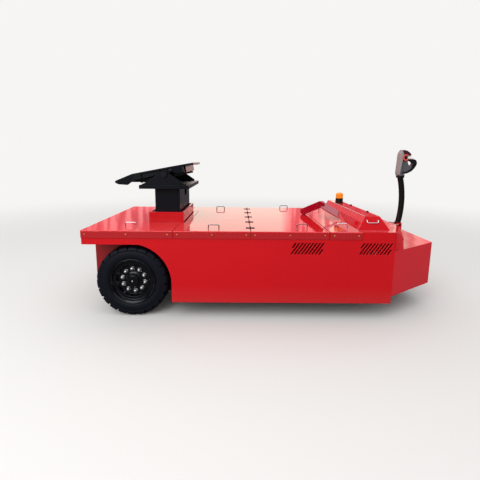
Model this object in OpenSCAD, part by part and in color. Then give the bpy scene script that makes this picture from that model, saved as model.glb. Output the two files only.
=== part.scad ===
// Pedestrian-controlled electric tow tractor with a lifting fifth-wheel coupling.
// Millimetres. The nose points along +X, +Z is up, and the origin lies on the
// ground below the middle of the machine. Near means -Y, far means +Y.

/* [Body] */
// Width across the folded deck strips
body_w = 1600; // [1500:1:1700]
// Height of the deck's top face
deck_z = 875; // [850:1:900]
// Height of the side panels' lower edge
sill_z = 165; // [130:1:200]
// Height of the skirt's lower edge behind the wheels
skirt_z = 738; // [725:1:760]
// Thickness of the body's side and nose panels
panel_t = 4; // [3:0.5:6]
// Thickness of the deck plates
deck_t = 5; // [4:0.5:8]
// Depth of the deck plates' folded side strips
strip_h = 72; // [50:1:85]
// Thickness of the folded side strips
strip_t = 3; // [2:0.5:4]
// Outer radius of the fold between plate and strip
fold_r = 8; // [6:0.5:8]
// Clear gap between a moving cover and what it passes
cover_gap = 5.5; // [5:0.5:8]

/* [Deck plates] */
// Length of the rear deck plate
rear_deck_l = 861; // [840:1:880]
// Length of the rear battery cover
cover_rear_l = 736; // [700:1:760]
// Length of the front battery cover
cover_front_l = 745; // [700:1:780]
// Length of the front deck plate
front_deck_l = 309; // [290:1:320]
// Half width of the deck's fixed tongue in front of the lifting column
tongue_hw = 446; // [440:1:460]
// Reach of that tongue past the guide frame
tongue_lap = 55; // [50:1:60]
// Length of the side panels' raised part under the control housing
console_l = 320; // [310:1:330]

/* [Wire handles] */
// Length of a wire handle
handle_l = 112; // [90:1:130]
// Height of a wire handle above its plate
handle_h = 46; // [40:1:60]
// Thickness of the wire
handle_d = 10; // [8:1:12]
// Radius of a wire handle's bends
handle_bend = 14; // [12:1:18]

/* [Cover hinges] */
// Length of one hinge across both leaves
hinge_l = 84; // [70:1:100]
// Width of a hinge at its knuckle
hinge_w = 46; // [40:1:60]
// Thickness of a hinge leaf
hinge_t = 3; // [2:0.5:4]
// Outer radius of a hinge knuckle
knuckle_r = 7; // [6:0.5:9]
// Radius of a hinge pin
pin_r = 3; // [2.5:0.5:4]
// Distance between neighbouring hinges
hinge_pitch = 318; // [280:1:330]

/* [Side vents] */
// Height of a vent
vent_h = 112; // [90:1:130]
// Width of one slot
slot_w = 13; // [10:1:15]
// Distance between neighbouring slots
slot_pitch = 33; // [30:1:38]
// Lean of the slots from upright, in degrees
slot_lean = 34; // [25:1:38]
// Height of the vents' middle
vent_z = 712; // [690:1:720]

/* [Nose] */
// Length of the tapered nose
nose_l = 577; // [520:1:620]
// Half width of the nose plate
nose_hw = 414; // [380:1:450]
// Height of the nose's flat top
nose_z = 690; // [660:1:700]
// Height of the nose's lower edge
nose_sill_z = 238; // [220:1:250]

/* [Control housing] */
// Height of the control housing above the deck
housing_h = 130; // [110:1:150]
// Length of the control housing at its foot
housing_l = 308; // [300:1:312]
// Run of the housing's sloping back
housing_back = 67; // [60:1:75]
// Length of the control housing at its top
housing_top_l = 147; // [120:1:160]
// Half width of the control housing at its foot
housing_hw = 690; // [650:1:720]
// Inward lean of the housing's ends
housing_lean = 32; // [20:1:50]
// Sheet thickness of the control housing
housing_t = 3; // [2:0.5:5]
// Radius of the beacon's base
beacon_r = 46; // [40:1:55]
// Height of the beacon's base
beacon_base_h = 56; // [45:1:65]
// Height of the beacon's lens
beacon_lens_h = 76; // [65:1:90]

/* [Rear wheels] */
// Distance from the rear plate to the wheel centre
rear_overhang = 446; // [430:1:460]
// Outer radius of a rear tyre
tyre_r = 355; // [345:1:358]
// Width of a rear tyre
tyre_w = 215; // [200:1:225]
// Distance of the tyre's outer face inside the side panel
tyre_inset = 31; // [25:1:45]
// Radius of the rim's visible flange
rim_r = 230; // [220:1:240]
// Gap between the tyre and the wheel arch
arch_gap = 38; // [30:1:45]
// Number of lugs on each tyre shoulder
lug_count = 22; // [20:1:24]
// Width of the notch between two lugs
lug_gap = 20; // [16:1:22]
// Depth of the notches at the tread
lug_depth = 15; // [10:1:16]
// Pitch radius of the wheel nuts
nut_pcr = 114; // [105:1:125]
// Number of wheel nuts
nut_count = 10; // [8:1:10]
// Radius of the rear axle tube
axle_r = 45; // [40:1:50]

/* [Chassis] */
// Half width of the chassis box between the rear wheels
box_hw = 495; // [480:1:500]
// Thickness of the chassis box walls
box_t = 8; // [6:1:12]
// Height of the chassis box's lower edge
box_z = 240; // [220:1:260]
// Length of the battery block
battery_l = 1200; // [1100:1:1260]
// Clear gap on each side of the battery block
battery_gap = 12; // [8:1:30]
// Height of the battery block
battery_h = 460; // [400:1:500]

/* [Lifting column] */
// Length of the lifting column's section
column_l = 262; // [240:1:270]
// Half width of the lifting column
column_hw = 335; // [320:1:340]
// Wall of the lifting column
column_t = 10; // [8:1:14]
// Height of the lifting column
column_h = 760; // [700:1:780]
// Length of the guide frame
guide_l = 365; // [355:1:375]
// Half width of the guide frame
guide_hw = 378; // [372:1:384]
// Wall of the guide frame
guide_t = 20; // [15:1:22]
// Height of the guide frame above the deck
guide_h = 112; // [100:1:120]
// Running gap between the column and its guide pads
slide_gap = 0.3; // [0.2:0.1:0.5]

/* [Coupling] */
// Height of the coupling's pivot
pivot_z = 1385; // [1370:1:1400]
// Half width of the base plate and of the coupling plate
plate_hw = 430; // [420:1:435]
// Length of the base plate
base_l = 510; // [490:1:520]
// Thickness of the base plate
base_t = 38; // [34:1:40]
// Rear-down tilt of the coupling plate at rest, in degrees
rest_tilt = 11; // [8:0.5:12]
// Height of the coupling plate's top face above the pivot
plate_top = 65; // [60:1:75]
// Thickness of the coupling plate
plate_t = 14; // [12:1:18]
// Radius of the kingpin's seat
kingpin_r = 25.7; // [25.5:0.1:26.2]
// Radius of the pivot pins
pivot_r = 22; // [18:1:26]

/* [Steering] */
// Distance of the steering axis behind the nose plate
steer_back = 214; // [205:1:225]
// Radius of the front wheels
front_r = 150; // [140:1:160]
// Width of one front tyre
front_w = 75; // [65:1:80]
// Gap between the two front tyres
front_gap = 44; // [40:1:60]
// Forward reach of the tiller's pivot from the steering axis
tiller_reach = 40; // [30:1:50]
// Height of the tiller's pivot
tiller_z = 800; // [785:1:815]
// Bend radius of the tiller arm
arm_bend = 1190; // [1000:10:1400]
// Radius of the tiller arm's tube
arm_r = 31; // [26:1:34]
// Backward lean of the tiller arm over its height
arm_lean = 18; // [10:1:24]
// Height of the tiller arm's upper end
arm_top_z = 1372; // [1340:1:1400]

/* [Hidden] */
$fa = 6;
$fs = 2;
eps = 0.05;
fit = 0.05;

body_l = rear_deck_l + cover_rear_l + cover_front_l + front_deck_l + console_l + nose_l;
rear_x = -body_l / 2;
nose_x = body_l / 2;
side_y = body_w / 2;
deck_z0 = deck_z - deck_t;
panel_y = side_y - strip_t - cover_gap;
wheel_x = rear_x + rear_overhang;
wheel_y = panel_y - tyre_inset - tyre_w / 2;
arch_r = tyre_r + arch_gap;
arch_x = wheel_x + arch_r;
main_x = nose_x - nose_l;

// Seams of the deck plates, from the rear
seam_1 = rear_x + rear_deck_l;
seam_2 = seam_1 + cover_rear_l;
seam_3 = seam_2 + cover_front_l;
seam_4 = seam_3 + front_deck_l;
hinge_z = deck_z + knuckle_r + 1;
housing_x = seam_4 - 4;
beacon_x = housing_x + 136;
beacon_y = 394;

// Lifting column and guide
guide_x = wheel_x + 88 + guide_l / 2;
column_x = guide_x + 8;
guide_front = guide_x + guide_l / 2;
foot_gap = 12;
well_x0 = guide_x - guide_l / 2 - 6;
well_x1 = guide_front + foot_gap;
tongue_x = guide_front + tongue_lap;
flange_t = 10;
guide_deep = 300;
pad_h = 80;
pad_hw = 60;
pad_y = 200;
base_x = wheel_x + 8 + base_l / 2;
base_z = pivot_z - 150;
column_z = base_z - column_h;

// Coupling plate, measured from its pivot
pivot_x = base_x + 3;
bracket_y = 400;
bracket_t = 22;
horn_x = -560;
plate_front = 300;
ramp_x = -330;
ramp_drop = 10;
release_x = 84;
release_z = 24;
throat_hw = 46;
lip_w = 34;
lip_z = 42;
rib_t = 12;
rib_y = 250;
rib_x = 202;

// Steering
steer_x = nose_x - steer_back;
tiller_x = steer_x + tiller_reach;
head_plate_z = 480;
fork_z = 2 * front_r + 40;
spigot_r = 70;
ring_r = 125;
ring_h = 40;
fork_r = 118;
disc_r = 86;
stub_r = 25;
collar_h = 20;
floor_t = 6;
floor_z = sill_z + floor_t;

// Chassis rails and battery
rail_w = 60;
rail_h = 90;
rail_t = 6;
battery_w = 2 * (box_hw - box_t - rail_w - battery_gap);

// Rear wheels
tyre_hw = tyre_w / 2;
disc_t = 14;
disc_z = tyre_hw - 76;
nut_turn = 12;
cap_r = 67;
lug_pitch = 360 / lug_count;
lug_turn = 3.4;
notch_a = asin(lug_gap / 2 / tyre_r);
slope_a = 0.5;
bore_r = rim_r / cos(lug_pitch / 2 - notch_a - slope_a);

// A tyre's section from its bore to its tread: radius and half width on a lug, then in a notch
TYRE_SECTION = [
    [bore_r, tyre_hw - 12, bore_r, tyre_hw - 12],
    [rim_r + 22, tyre_hw, rim_r + 22, tyre_hw],
    [tyre_r - 51, tyre_hw - 4, tyre_r - 51, tyre_hw - 4],
    [tyre_r - 25, tyre_hw - 8, tyre_r - 25, tyre_hw - 18],
    [tyre_r, tyre_hw - 45, tyre_r - lug_depth, tyre_hw - 45],
];
// Angles of a lug's four columns of points about the middle of its notch
LUG_COLUMNS = [-notch_a, notch_a, notch_a + slope_a, lug_pitch - notch_a - slope_a];

// Wire handles: x of the middle, y of the near one, y of the far one
REAR_PLATE_HANDLE = [rear_x + 409, -600, 600];
COVER_REAR_HANDLE = [seam_1 + 379, -690, 567];
COVER_FRONT_HANDLE = [seam_2 + 513, -628, 710];
FRONT_PLATE_HANDLE = [seam_3 + 178, -588, 588];

// Bent arm on the front cover: foot, apex and tip, their z above the deck, then its bar and its plate
arm_foot = [seam_2 + 697, 222, 38];
arm_apex = [seam_2 + 853, 4, 158];
arm_tip = [seam_2 + 1040, -62, 52];
bar_tall = 76;
bar_t = 40;
slit_w = 5;
slit_pitch = 13;
arm_plate_w = 165;
arm_plate_t = 8;
arm_plate_roll = 16.5;

// Vents in each side panel: x of the middle
VENTS = [seam_3 - 204, main_x - 181];
// Slots of a vent: place along the row, lower end and upper end as shares of the height
SLOTS = [[-4, 0.55, 1], [-3, 0, 1], [-2, 0, 1], [-1, 0, 1], [0, 0, 1],
         [1, 0, 1], [2, 0, 1], [3, 0, 1], [4, 0, 1], [5, 0, 0.45]];

// Corners of the nose's sloping faces on one side: share of the nose's length, distance in from the
// side panel and share of the slope's height
CORNER_FACE = [[-0.55, 0, 1], [0, 0, 1], [0.004, 106.5, 1], [0.3, 293.5, 1], [0.127, 47.5, 0.82],
               [0.179, 67.5, 0.6], [0.217, 72.5, -0.16], [0.459, 408.5, -0.16], [-0.55, 0, -0.16]];
MIDDLE_FACE = [[0.298, 293.5, 1], [0.459, 428.5, -0.16], [0.631, 532.5, -0.16]];

// Lower edges of the coupling plate's skirts and ribs: x and z about the pivot
SKIRT_EDGE = [[horn_x, 6], [-510, -17], [-410, -39], [ramp_x, -5], [-120, 7], [80, 12], [140, -15], [205, -15]];
RIB_EDGE = [[-550, 4], [-420, -20], [-300, -45], [rib_x, -45]];

// A box from one corner to the other
module span(low, high) {
    translate(low) cube(high - low);
}

// The same box on both sides of the middle plane, given for positive y
module both_sides() {
    children();
    mirror([0, 1, 0]) children();
}

// Plan outline of the tapered nose, shrunk all round by one distance
module nose_plan(inset, from_x) {
    slope = (panel_y - nose_hw) / nose_l;
    shift = inset * sqrt(1 + slope * slope);
    start_hw = panel_y - shift - slope * (from_x - main_x);
    end_x = nose_x - inset;
    end_hw = panel_y - shift - slope * (end_x - main_x);
    polygon([[from_x, -start_hw], [end_x, -end_hw], [end_x, end_hw], [from_x, start_hw]]);
}

// A bent wire handle standing on z = 0, its grip along x
module wire_handle(l = handle_l, h = handle_h, d = handle_d) {
    r = handle_bend;
    both_ends() translate([l / 2 - d / 2, 0, 0]) cylinder(h = h - d / 2 - r, d = d);
    both_ends() translate([l / 2 - d / 2 - r, 0, h - d / 2 - r])
        rotate([90, 0, 0]) rotate_extrude(angle = 90) translate([r, 0]) circle(d = d);
    translate([-(l / 2 - d / 2 - r), 0, h - d / 2]) rotate([0, 90, 0]) cylinder(h = l - d - 2 * r, d = d);
}

module both_ends() {
    children();
    mirror([1, 0, 0]) children();
}

// A plate handle and its mirror partner, from one row of the handle table
module handle_pair(row) {
    for (y = [row[1], row[2]]) translate([row[0], y, deck_z]) {
        wire_handle();
        both_ends() translate([(handle_l - handle_d) / 2, 0, 0]) cylinder(h = 2, d = 2 * handle_d);
    }
}

// Side panel

module arch_outline(gap) {
    translate([wheel_x, tyre_r]) circle(r = arch_r + gap);
    translate([wheel_x, sill_z - 10]) square([arch_r + gap, tyre_r - sill_z + 10]);
    translate([rear_x - 10, sill_z - 10]) square([rear_overhang + 10, skirt_z - sill_z + 10 + gap]);
}

module vent_outline() {
    for (row = SLOTS) {
        low = -vent_h / 2 + row[1] * vent_h;
        high = -vent_h / 2 + row[2] * vent_h;
        mid_x = row[0] * slot_pitch - slot_pitch / 2;
        shear = tan(slot_lean);
        half = slot_w / 2 / cos(slot_lean);
        polygon([
            [mid_x + low * shear - half, low], [mid_x + low * shear + half, low],
            [mid_x + high * shear + half, high], [mid_x + high * shear - half, high],
        ]);
    }
}

module side_outline() {
    difference() {
        union() {
            translate([rear_x, sill_z]) square([main_x - rear_x, deck_z0 - sill_z]);
            translate([seam_4 + 6, sill_z]) square([main_x - seam_4 - 6, deck_z - sill_z]);
        }
        intersection() {
            arch_outline(0);
            translate([rear_x - 20, sill_z - 20]) square([arch_x - rear_x + 20, skirt_z - sill_z + 20]);
        }
        for (x = VENTS) translate([x, vent_z]) vent_outline();
    }
}

module arch_lip() {
    difference() {
        intersection() {
            arch_outline(panel_t);
            translate([rear_x + panel_t, sill_z]) square([arch_x - rear_x, skirt_z - sill_z + panel_t]);
        }
        intersection() {
            arch_outline(0);
            translate([rear_x - 20, sill_z - 20]) square([arch_x - rear_x + 20, skirt_z - sill_z + 20]);
        }
    }
}

module side_panel() {
    translate([0, panel_y, 0]) rotate([90, 0, 0]) linear_extrude(panel_t) side_outline();
    translate([0, panel_y - panel_t + eps, 0]) rotate([90, 0, 0]) linear_extrude(20) arch_lip();
}

module side_panel_left() {
    color("#c1121a") side_panel();
}

module side_panel_right() {
    color("#c1121a") mirror([0, 1, 0]) side_panel();
}

// Chassis

module chassis_frame() {
    inner = box_hw - box_t;
    panel_in = panel_y - panel_t;
    color("#a50f16") {
        // Box between the rear wheels, with round openings for the axle
        both_sides() difference() {
            span([rear_x + box_t, inner, box_z], [well_x1 + box_t, box_hw, deck_z0]);
            translate([wheel_x, inner - 1, tyre_r]) rotate([-90, 0, 0]) cylinder(h = box_t + 2, r = axle_r + 1);
        }
        span([rear_x, -box_hw, box_z], [rear_x + box_t, box_hw, deck_z0]);
        span([well_x1, -inner, box_z], [well_x1 + box_t, inner, deck_z0]);
        span([well_x0 - box_t, -inner, box_z + 320], [well_x0, inner, deck_z0]);
        // Rear skirt behind the wheels and front walls of the wheel wells
        both_sides() span([rear_x, box_hw, skirt_z], [rear_x + panel_t, panel_in, deck_z0]);
        both_sides() span([arch_x + panel_t, box_hw, floor_z], [arch_x + panel_t + box_t, panel_in, deck_z0]);
        // Rails along the belly
        both_sides() difference() {
            span([well_x1 + box_t, inner - rail_w, floor_z], [main_x - box_t, inner, floor_z + rail_h]);
            span([well_x1 + box_t + rail_t, inner - rail_w + rail_t, floor_z + rail_t],
                 [main_x - box_t - rail_t, inner - rail_t, floor_z + rail_h - rail_t]);
        }
        // Bulkhead and steering head in the nose
        span([main_x - box_t, -panel_in, floor_z], [main_x, panel_in, head_plate_z + 12]);
        difference() {
            translate([0, 0, head_plate_z]) linear_extrude(12) nose_plan(panel_t, main_x - 1);
            translate([steer_x, 0, head_plate_z - 1]) cylinder(h = 14, r = spigot_r + 4);
        }
    }
}

module belly_plate() {
    panel_in = panel_y - panel_t;
    color("#2a2a2c") difference() {
        union() {
            span([arch_x + panel_t, -panel_in, sill_z], [main_x, panel_in, floor_z]);
            span([well_x0, -box_hw, sill_z], [arch_x + panel_t + 1, box_hw, floor_z]);
            both_sides() span([well_x0, box_hw - box_t, floor_z - 1], [well_x1 + box_t, box_hw, box_z]);
            span([well_x1, -box_hw + box_t, floor_z - 1], [well_x1 + box_t, box_hw - box_t, box_z]);
        }
        translate([column_x, 0, sill_z - 1]) cylinder(h = floor_t + 2, r = 20);
    }
}

module battery_pack() {
    color("#3a3d42") translate([seam_2 + 60, 0, floor_z + battery_h / 2])
        cube([battery_l, battery_w, battery_h], center = true);
}

// Deck

// Section across a plate's edge: the fold and the strip hanging from it
module fold_section() {
    y = side_y - fold_r;
    inner_r = fold_r - strip_t;
    polygon(concat(
        [[y - 1, deck_z0], [y - 1, deck_z]],
        [for (a = [90:-15:0]) [y + fold_r * cos(a), deck_z - fold_r * (1 - sin(a))]],
        [[side_y, deck_z - strip_h], [side_y - strip_t, deck_z - strip_h]],
        [for (a = [0:15:90]) [y + inner_r * cos(a), deck_z0 - inner_r * (1 - sin(a))]]
    ));
}

// A deck plate between two seams with its folded strips, its strips cut back at a moving end
module strip_plate(x0, x1, back0 = 0, back1 = 0) {
    span([x0, fold_r - side_y, deck_z0], [x1, side_y - fold_r, deck_z]);
    both_sides() translate([x0 + back0, 0, 0]) rotate([90, 0, 90])
        linear_extrude(x1 - back1 - x0 - back0) fold_section();
}

module rear_deck_plate() {
    color("#c4141c") difference() {
        union() {
            strip_plate(rear_x, seam_1 - cover_gap / 2);
            span([seam_1 - 10, -tongue_hw, deck_z0], [tongue_x, tongue_hw, deck_z]);
        }
        span([guide_x - guide_l / 2, -guide_hw, deck_z0 - 1], [guide_front + foot_gap - 1, guide_hw, deck_z + 1]);
    }
}

module front_deck_plate() {
    color("#c4141c") strip_plate(seam_3 + cover_gap, seam_4);
}

module deck_handles() {
    color("silver") {
        handle_pair(REAR_PLATE_HANDLE);
        handle_pair(FRONT_PLATE_HANDLE);
    }
}

// Hinged battery covers. Their hinge line lies above the seam between them.

hinge_ys = [for (i = [-2:2]) i * hinge_pitch];

module cover_rear() {
    back = cover_gap / 2;
    color("#cf1a20") {
        difference() {
            strip_plate(seam_1 + back, seam_2 - back, 6, 0);
            span([seam_1 - 20, -tongue_hw - cover_gap, deck_z0 - 1],
                 [tongue_x + cover_gap, tongue_hw + cover_gap, deck_z + 1]);
        }
    }
    color("silver") handle_pair(COVER_REAR_HANDLE);
}

module cover_front() {
    back = cover_gap / 2;
    color("#cf1a20") strip_plate(seam_2 + back, seam_3 - back, 0, 6);
    color("silver") handle_pair(COVER_FRONT_HANDLE);
}

// One leaf reaching from the hinge line towards +x, tapered like a bow tie
module hinge_leaf() {
    far_w = hinge_w * 1.25;
    rise = hinge_z - deck_z;
    translate([0, 0, deck_z]) linear_extrude(hinge_t)
        polygon([[3, -hinge_w / 2], [hinge_l / 2, -far_w / 2], [hinge_l / 2, far_w / 2], [3, hinge_w / 2]]);
    span([1, -hinge_w / 2, deck_z], [4, hinge_w / 2, deck_z + rise]);
}

// Knuckles lie in three equal parts along the hinge line
module knuckle(part) {
    w = hinge_w / 3;
    translate([0, part * w, hinge_z]) rotate([90, 0, 0]) cylinder(h = w - 0.6, r = knuckle_r, center = true);
}

module cover_rear_hinges() {
    color("#1c1c1e") for (y = hinge_ys) translate([seam_2, y, 0]) difference() {
        union() {
            mirror([1, 0, 0]) hinge_leaf();
            knuckle(-1);
            knuckle(1);
        }
        knuckle_room(0);
        translate([0, 0, hinge_z]) rotate([90, 0, 0]) cylinder(h = hinge_w + 2, r = pin_r + fit, center = true);
    }
}

module cover_front_hinges() {
    color("#1c1c1e") for (y = hinge_ys) translate([seam_2, y, 0]) {
        difference() {
            union() {
                hinge_leaf();
                knuckle(0);
            }
            knuckle_room(-1);
            knuckle_room(1);
        }
        translate([0, 0, hinge_z]) rotate([90, 0, 0]) cylinder(h = hinge_w, r = pin_r, center = true);
    }
}

// Room cut in a leaf for the other leaf's knuckle
module knuckle_room(part) {
    w = hinge_w / 3;
    translate([0, part * w, hinge_z]) rotate([90, 0, 0]) cylinder(h = w + 0.6, r = knuckle_r + 1, center = true);
}

// Nose

// Small blocks at the corners of one sloping face, on both sides
module slope_corners(rows, inset) {
    for (s = [-1, 1], row = rows)
        translate([main_x + row[0] * nose_l - inset, s * (panel_y - row[1] - inset),
                   nose_z + row[2] * (deck_z - nose_z) - inset - 1]) cube([0.01, 0.01, 1]);
}

// Solid under the nose's sloping face: the corner faces and the middle face
module nose_slope(inset) {
    hull() slope_corners(CORNER_FACE, inset);
    hull() slope_corners(MIDDLE_FACE, inset);
}

module nose_shell() {
    color("#c4182a") difference() {
        union() {
            intersection() {
                nose_slope(0);
                translate([0, 0, nose_z - 1]) linear_extrude(300) union() {
                    nose_plan(0, main_x);
                    translate([seam_4 + 4, -panel_y + panel_t]) square([main_x - seam_4, 2 * (panel_y - panel_t)]);
                }
            }
            translate([0, 0, nose_sill_z]) linear_extrude(nose_z - nose_sill_z) nose_plan(0, main_x);
        }
        translate([0, 0, nose_sill_z - 1]) linear_extrude(nose_z - deck_t - nose_sill_z + 1)
            nose_plan(panel_t, main_x - 10);
        intersection() {
            nose_slope(deck_t);
            translate([0, 0, nose_z - 100]) linear_extrude(300) union() {
                nose_plan(panel_t, main_x - 1);
                translate([seam_4, -panel_y]) square([main_x - seam_4, 2 * panel_y]);
            }
        }
        span([seam_4, -panel_y, nose_sill_z], [main_x - panel_t, panel_y, deck_z0]);
        translate([steer_x, 0, nose_z - 50]) cylinder(h = 200, r = disc_r + 6);
    }
}

module housing_block(inset) {
    foot_y = housing_hw - inset;
    top_y = housing_hw - housing_lean - inset;
    top_z = deck_z + housing_h - inset;
    hull() {
        span([housing_x + inset, -foot_y, deck_z - inset],
             [housing_x + housing_l - inset, foot_y, deck_z - inset + 1]);
        span([housing_x + housing_back + inset, -top_y, top_z - 1],
             [housing_x + housing_back + housing_top_l - inset, top_y, top_z]);
    }
}

module control_housing() {
    color("#c8141c") difference() {
        housing_block(0);
        housing_block(housing_t);
    }
}

module housing_handles() {
    lean = atan(housing_lean / housing_h);
    up = 0.72;
    color("silver") both_sides()
        translate([housing_x + 149, housing_hw - housing_lean * up, deck_z + housing_h * up])
            rotate([lean - 90, 0, 0]) wire_handle(92, 44, 8);
}

module beacon_base() {
    color("#1d1d1f") translate([beacon_x, beacon_y, deck_z + housing_h]) {
        cylinder(h = 8, r = beacon_r + 6);
        cylinder(h = beacon_base_h, r = beacon_r);
    }
}

module beacon_lens() {
    lens_r = beacon_r - 2;
    shoulder = beacon_lens_h * 0.62;
    color("#ff8a00") translate([beacon_x, beacon_y, deck_z + housing_h + beacon_base_h]) {
        rotate_extrude() polygon(concat([[0, 0], [lens_r, 0]],
            [for (a = [0:10:80]) [lens_r * cos(a), shoulder + (beacon_lens_h - shoulder) * sin(a)]],
            [[0, beacon_lens_h]]));
    }
}

// Bent steel arm carried by the front cover: a round-ended bar on edge and a flat plate

// Children drawn along x from one point towards another
module along(from, to, roll = 0) {
    run = to - from;
    translate([from[0], from[1], deck_z + from[2]])
        rotate([roll, atan2(-run[2], norm([run[0], run[1]])), atan2(run[1], run[0])]) children();
}

module cover_arm() {
    bar_l = norm(arm_apex - arm_foot);
    bar_r = bar_tall / 2;
    color("#a81020") {
        along(arm_foot, arm_apex) difference() {
            union() {
                span([0, -bar_t / 2, -bar_r], [bar_l, bar_t / 2, bar_r]);
                for (x = [0, bar_l])
                    translate([x, bar_t / 2, 0]) rotate([90, 0, 0]) cylinder(h = bar_t, r = bar_r);
            }
            for (i = [1:5]) span([bar_l - i * slit_pitch, -bar_t / 2 - 1, -bar_r / 2],
                                 [bar_l - i * slit_pitch + slit_w, 6 - bar_t / 2, bar_r / 2]);
        }
        along(arm_apex, arm_tip, arm_plate_roll)
            span([0, -arm_plate_w / 2, -arm_plate_t / 2],
                 [norm(arm_tip - arm_apex), arm_plate_w / 2, arm_plate_t / 2]);
    }
}

// Lifting column and its guide

module guide_section(wall) {
    translate([guide_x, 0]) difference() {
        square([guide_l, 2 * guide_hw], center = true);
        square([guide_l - 2 * wall, 2 * (guide_hw - wall)], center = true);
    }
}

module column_guide() {
    low = deck_z0 - guide_deep;
    color("#c4141c") {
        translate([0, 0, low]) linear_extrude(deck_z + guide_h - low) guide_section(guide_t);
        // Flange below the deck, out to the chassis box
        translate([0, 0, deck_z0 - flange_t]) linear_extrude(flange_t) difference() {
            translate([well_x0, -box_hw + box_t]) square([guide_front - well_x0, 2 * (box_hw - box_t)]);
            translate([guide_x, 0]) square([guide_l - 2, 2 * guide_hw - 2], center = true);
        }
    }
    // Sliding pads on the inner faces, out of sight below the frame's mouth
    inner_x = guide_l / 2 - guide_t;
    color("#e8e4d8") for (z = [low + 20, deck_z - pad_h - 10]) {
        both_sides() {
            span([column_x + column_l / 2 + slide_gap, pad_y - pad_hw, z],
                 [guide_x + inner_x + eps, pad_y + pad_hw, z + pad_h]);
            span([guide_x - inner_x - eps, pad_y - pad_hw, z],
                 [column_x - column_l / 2 - slide_gap, pad_y + pad_hw, z + pad_h]);
            span([column_x - pad_hw, column_hw + slide_gap, z],
                 [column_x + pad_hw, guide_hw - guide_t + eps, z + pad_h]);
        }
    }
}

module lifting_column() {
    color("#17181b") difference() {
        translate([column_x - column_l / 2, -column_hw, column_z]) cube([column_l, 2 * column_hw, column_h]);
        translate([column_x - column_l / 2 + column_t, -column_hw + column_t, column_z - 1])
            cube([column_l - 2 * column_t, 2 * (column_hw - column_t), column_h - 19]);
        // Slot in the front wall, below the base plate
        translate([column_x + column_l / 2 - column_t - 1, -20, column_z + column_h - 110])
            cube([column_t + 2, pad_y - pad_hw, 92]);
    }
}

// Fifth-wheel coupling

module coupling_base() {
    x0 = base_x - base_l / 2;
    color("#1a1d22") difference() {
        span([x0, -plate_hw, base_z], [x0 + base_l, plate_hw, base_z + base_t]);
        // Row of notches along the rear edge
        for (i = [-5:5]) translate([x0, i * 76, base_z - 1]) cylinder(h = base_t + 2, r = 14);
    }
}

// A flat foot narrowing to a round boss about the pivot, which lies rise away from the foot
module boss_outline(foot_0, foot_1, foot_h, rise, boss_r, bore_r) {
    side = boss_r * 0.9;
    up = rise > 0 ? 1 : -1;
    difference() {
        union() {
            translate([0, rise]) circle(r = boss_r);
            polygon([[foot_0, 0], [foot_1, 0], [foot_1, up * foot_h], [side, rise + up * boss_r * 0.43],
                     [-side, rise + up * boss_r * 0.43], [foot_0, up * foot_h]]);
        }
        translate([0, rise]) circle(r = bore_r);
    }
}

module coupling_brackets() {
    color("#20242b") both_sides() translate([pivot_x, bracket_y + bracket_t / 2, base_z + base_t]) {
        rotate([90, 0, 0]) linear_extrude(bracket_t)
            boss_outline(-212, rib_x, 18, pivot_z - base_z - base_t, pivot_r + 20, pivot_r);
    }
}

module coupling_pins() {
    color("#5a5e66") both_sides() translate([pivot_x, plate_hw + 6, pivot_z]) rotate([90, 0, 0]) {
        cylinder(h = 110, r = pivot_r);
        cylinder(h = 6, r = pivot_r + 8);
    }
}

// Plan outline of the coupling plate about its pivot, with the throat open to the rear
module plate_outline() {
    difference() {
        polygon([
            [plate_front, -300], [plate_front, 300], [250, 350], [80, plate_hw], [-60, plate_hw],
            [ramp_x, 395], [horn_x + 40, 330], [horn_x, 290], [horn_x, -290], [horn_x + 40, -330],
            [ramp_x, -395], [-60, -plate_hw], [80, -plate_hw], [250, -350],
        ]);
        circle(r = throat_hw);
        polygon([[0, -throat_hw], [-140, -60], [horn_x - 10, -205],
                 [horn_x - 10, 205], [-140, 60], [0, throat_hw]]);
    }
}

module tilted() {
    translate([pivot_x, 0, pivot_z]) rotate([0, -rest_tilt, 0]) children();
}

// Side profile of the plate: flat over the pivot, bent down behind it for the ramps
module plate_profile() {
    under = plate_top - plate_t;
    fall = (ramp_x - horn_x) * tan(ramp_drop);
    polygon([
        [plate_front, lip_z], [plate_front, plate_top], [ramp_x, plate_top], [horn_x, plate_top - fall],
        [horn_x, under - fall], [ramp_x, under], [plate_front - lip_w, under], [plate_front - lip_w, lip_z],
    ]);
}

// Side profile of what hangs below the plate, down to one of the edge tables
module hanging_profile(edge) {
    under = plate_top - plate_t + 2;
    tail = under - (ramp_x - edge[0][0]) * tan(ramp_drop);
    polygon(concat(edge, [[edge[len(edge) - 1][0], under], [ramp_x, under], [edge[0][0], tail]]));
}

// Plan of one side's skirts: round the horn, straight inside the bracket, along the slanted front corner
module skirt_plan() {
    polygon([[horn_x, 202], [horn_x, 290], [horn_x + 40, 330], [ramp_x, 395], [-240, 406.7], [-240, 392.5],
             [ramp_x + 4, 381], [horn_x + 46, 317], [horn_x + 14, 284], [horn_x + 14, 208]]);
    translate([ramp_x, 369]) square([205 - ramp_x, 14]);
    polygon([[80, plate_hw], [205, 371.2], [199, 358.5], [80, 417]]);
}

// Plan of one side's ribs: the long one, then the one along the throat
module rib_plan() {
    translate([-300, rib_y]) square([rib_x + 300, rib_t]);
    polygon([[-80, 54], [-140, 60], [-550, 198.3], [-546, 209.7], [-136, 71.4], [-80, 66]]);
}

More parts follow.
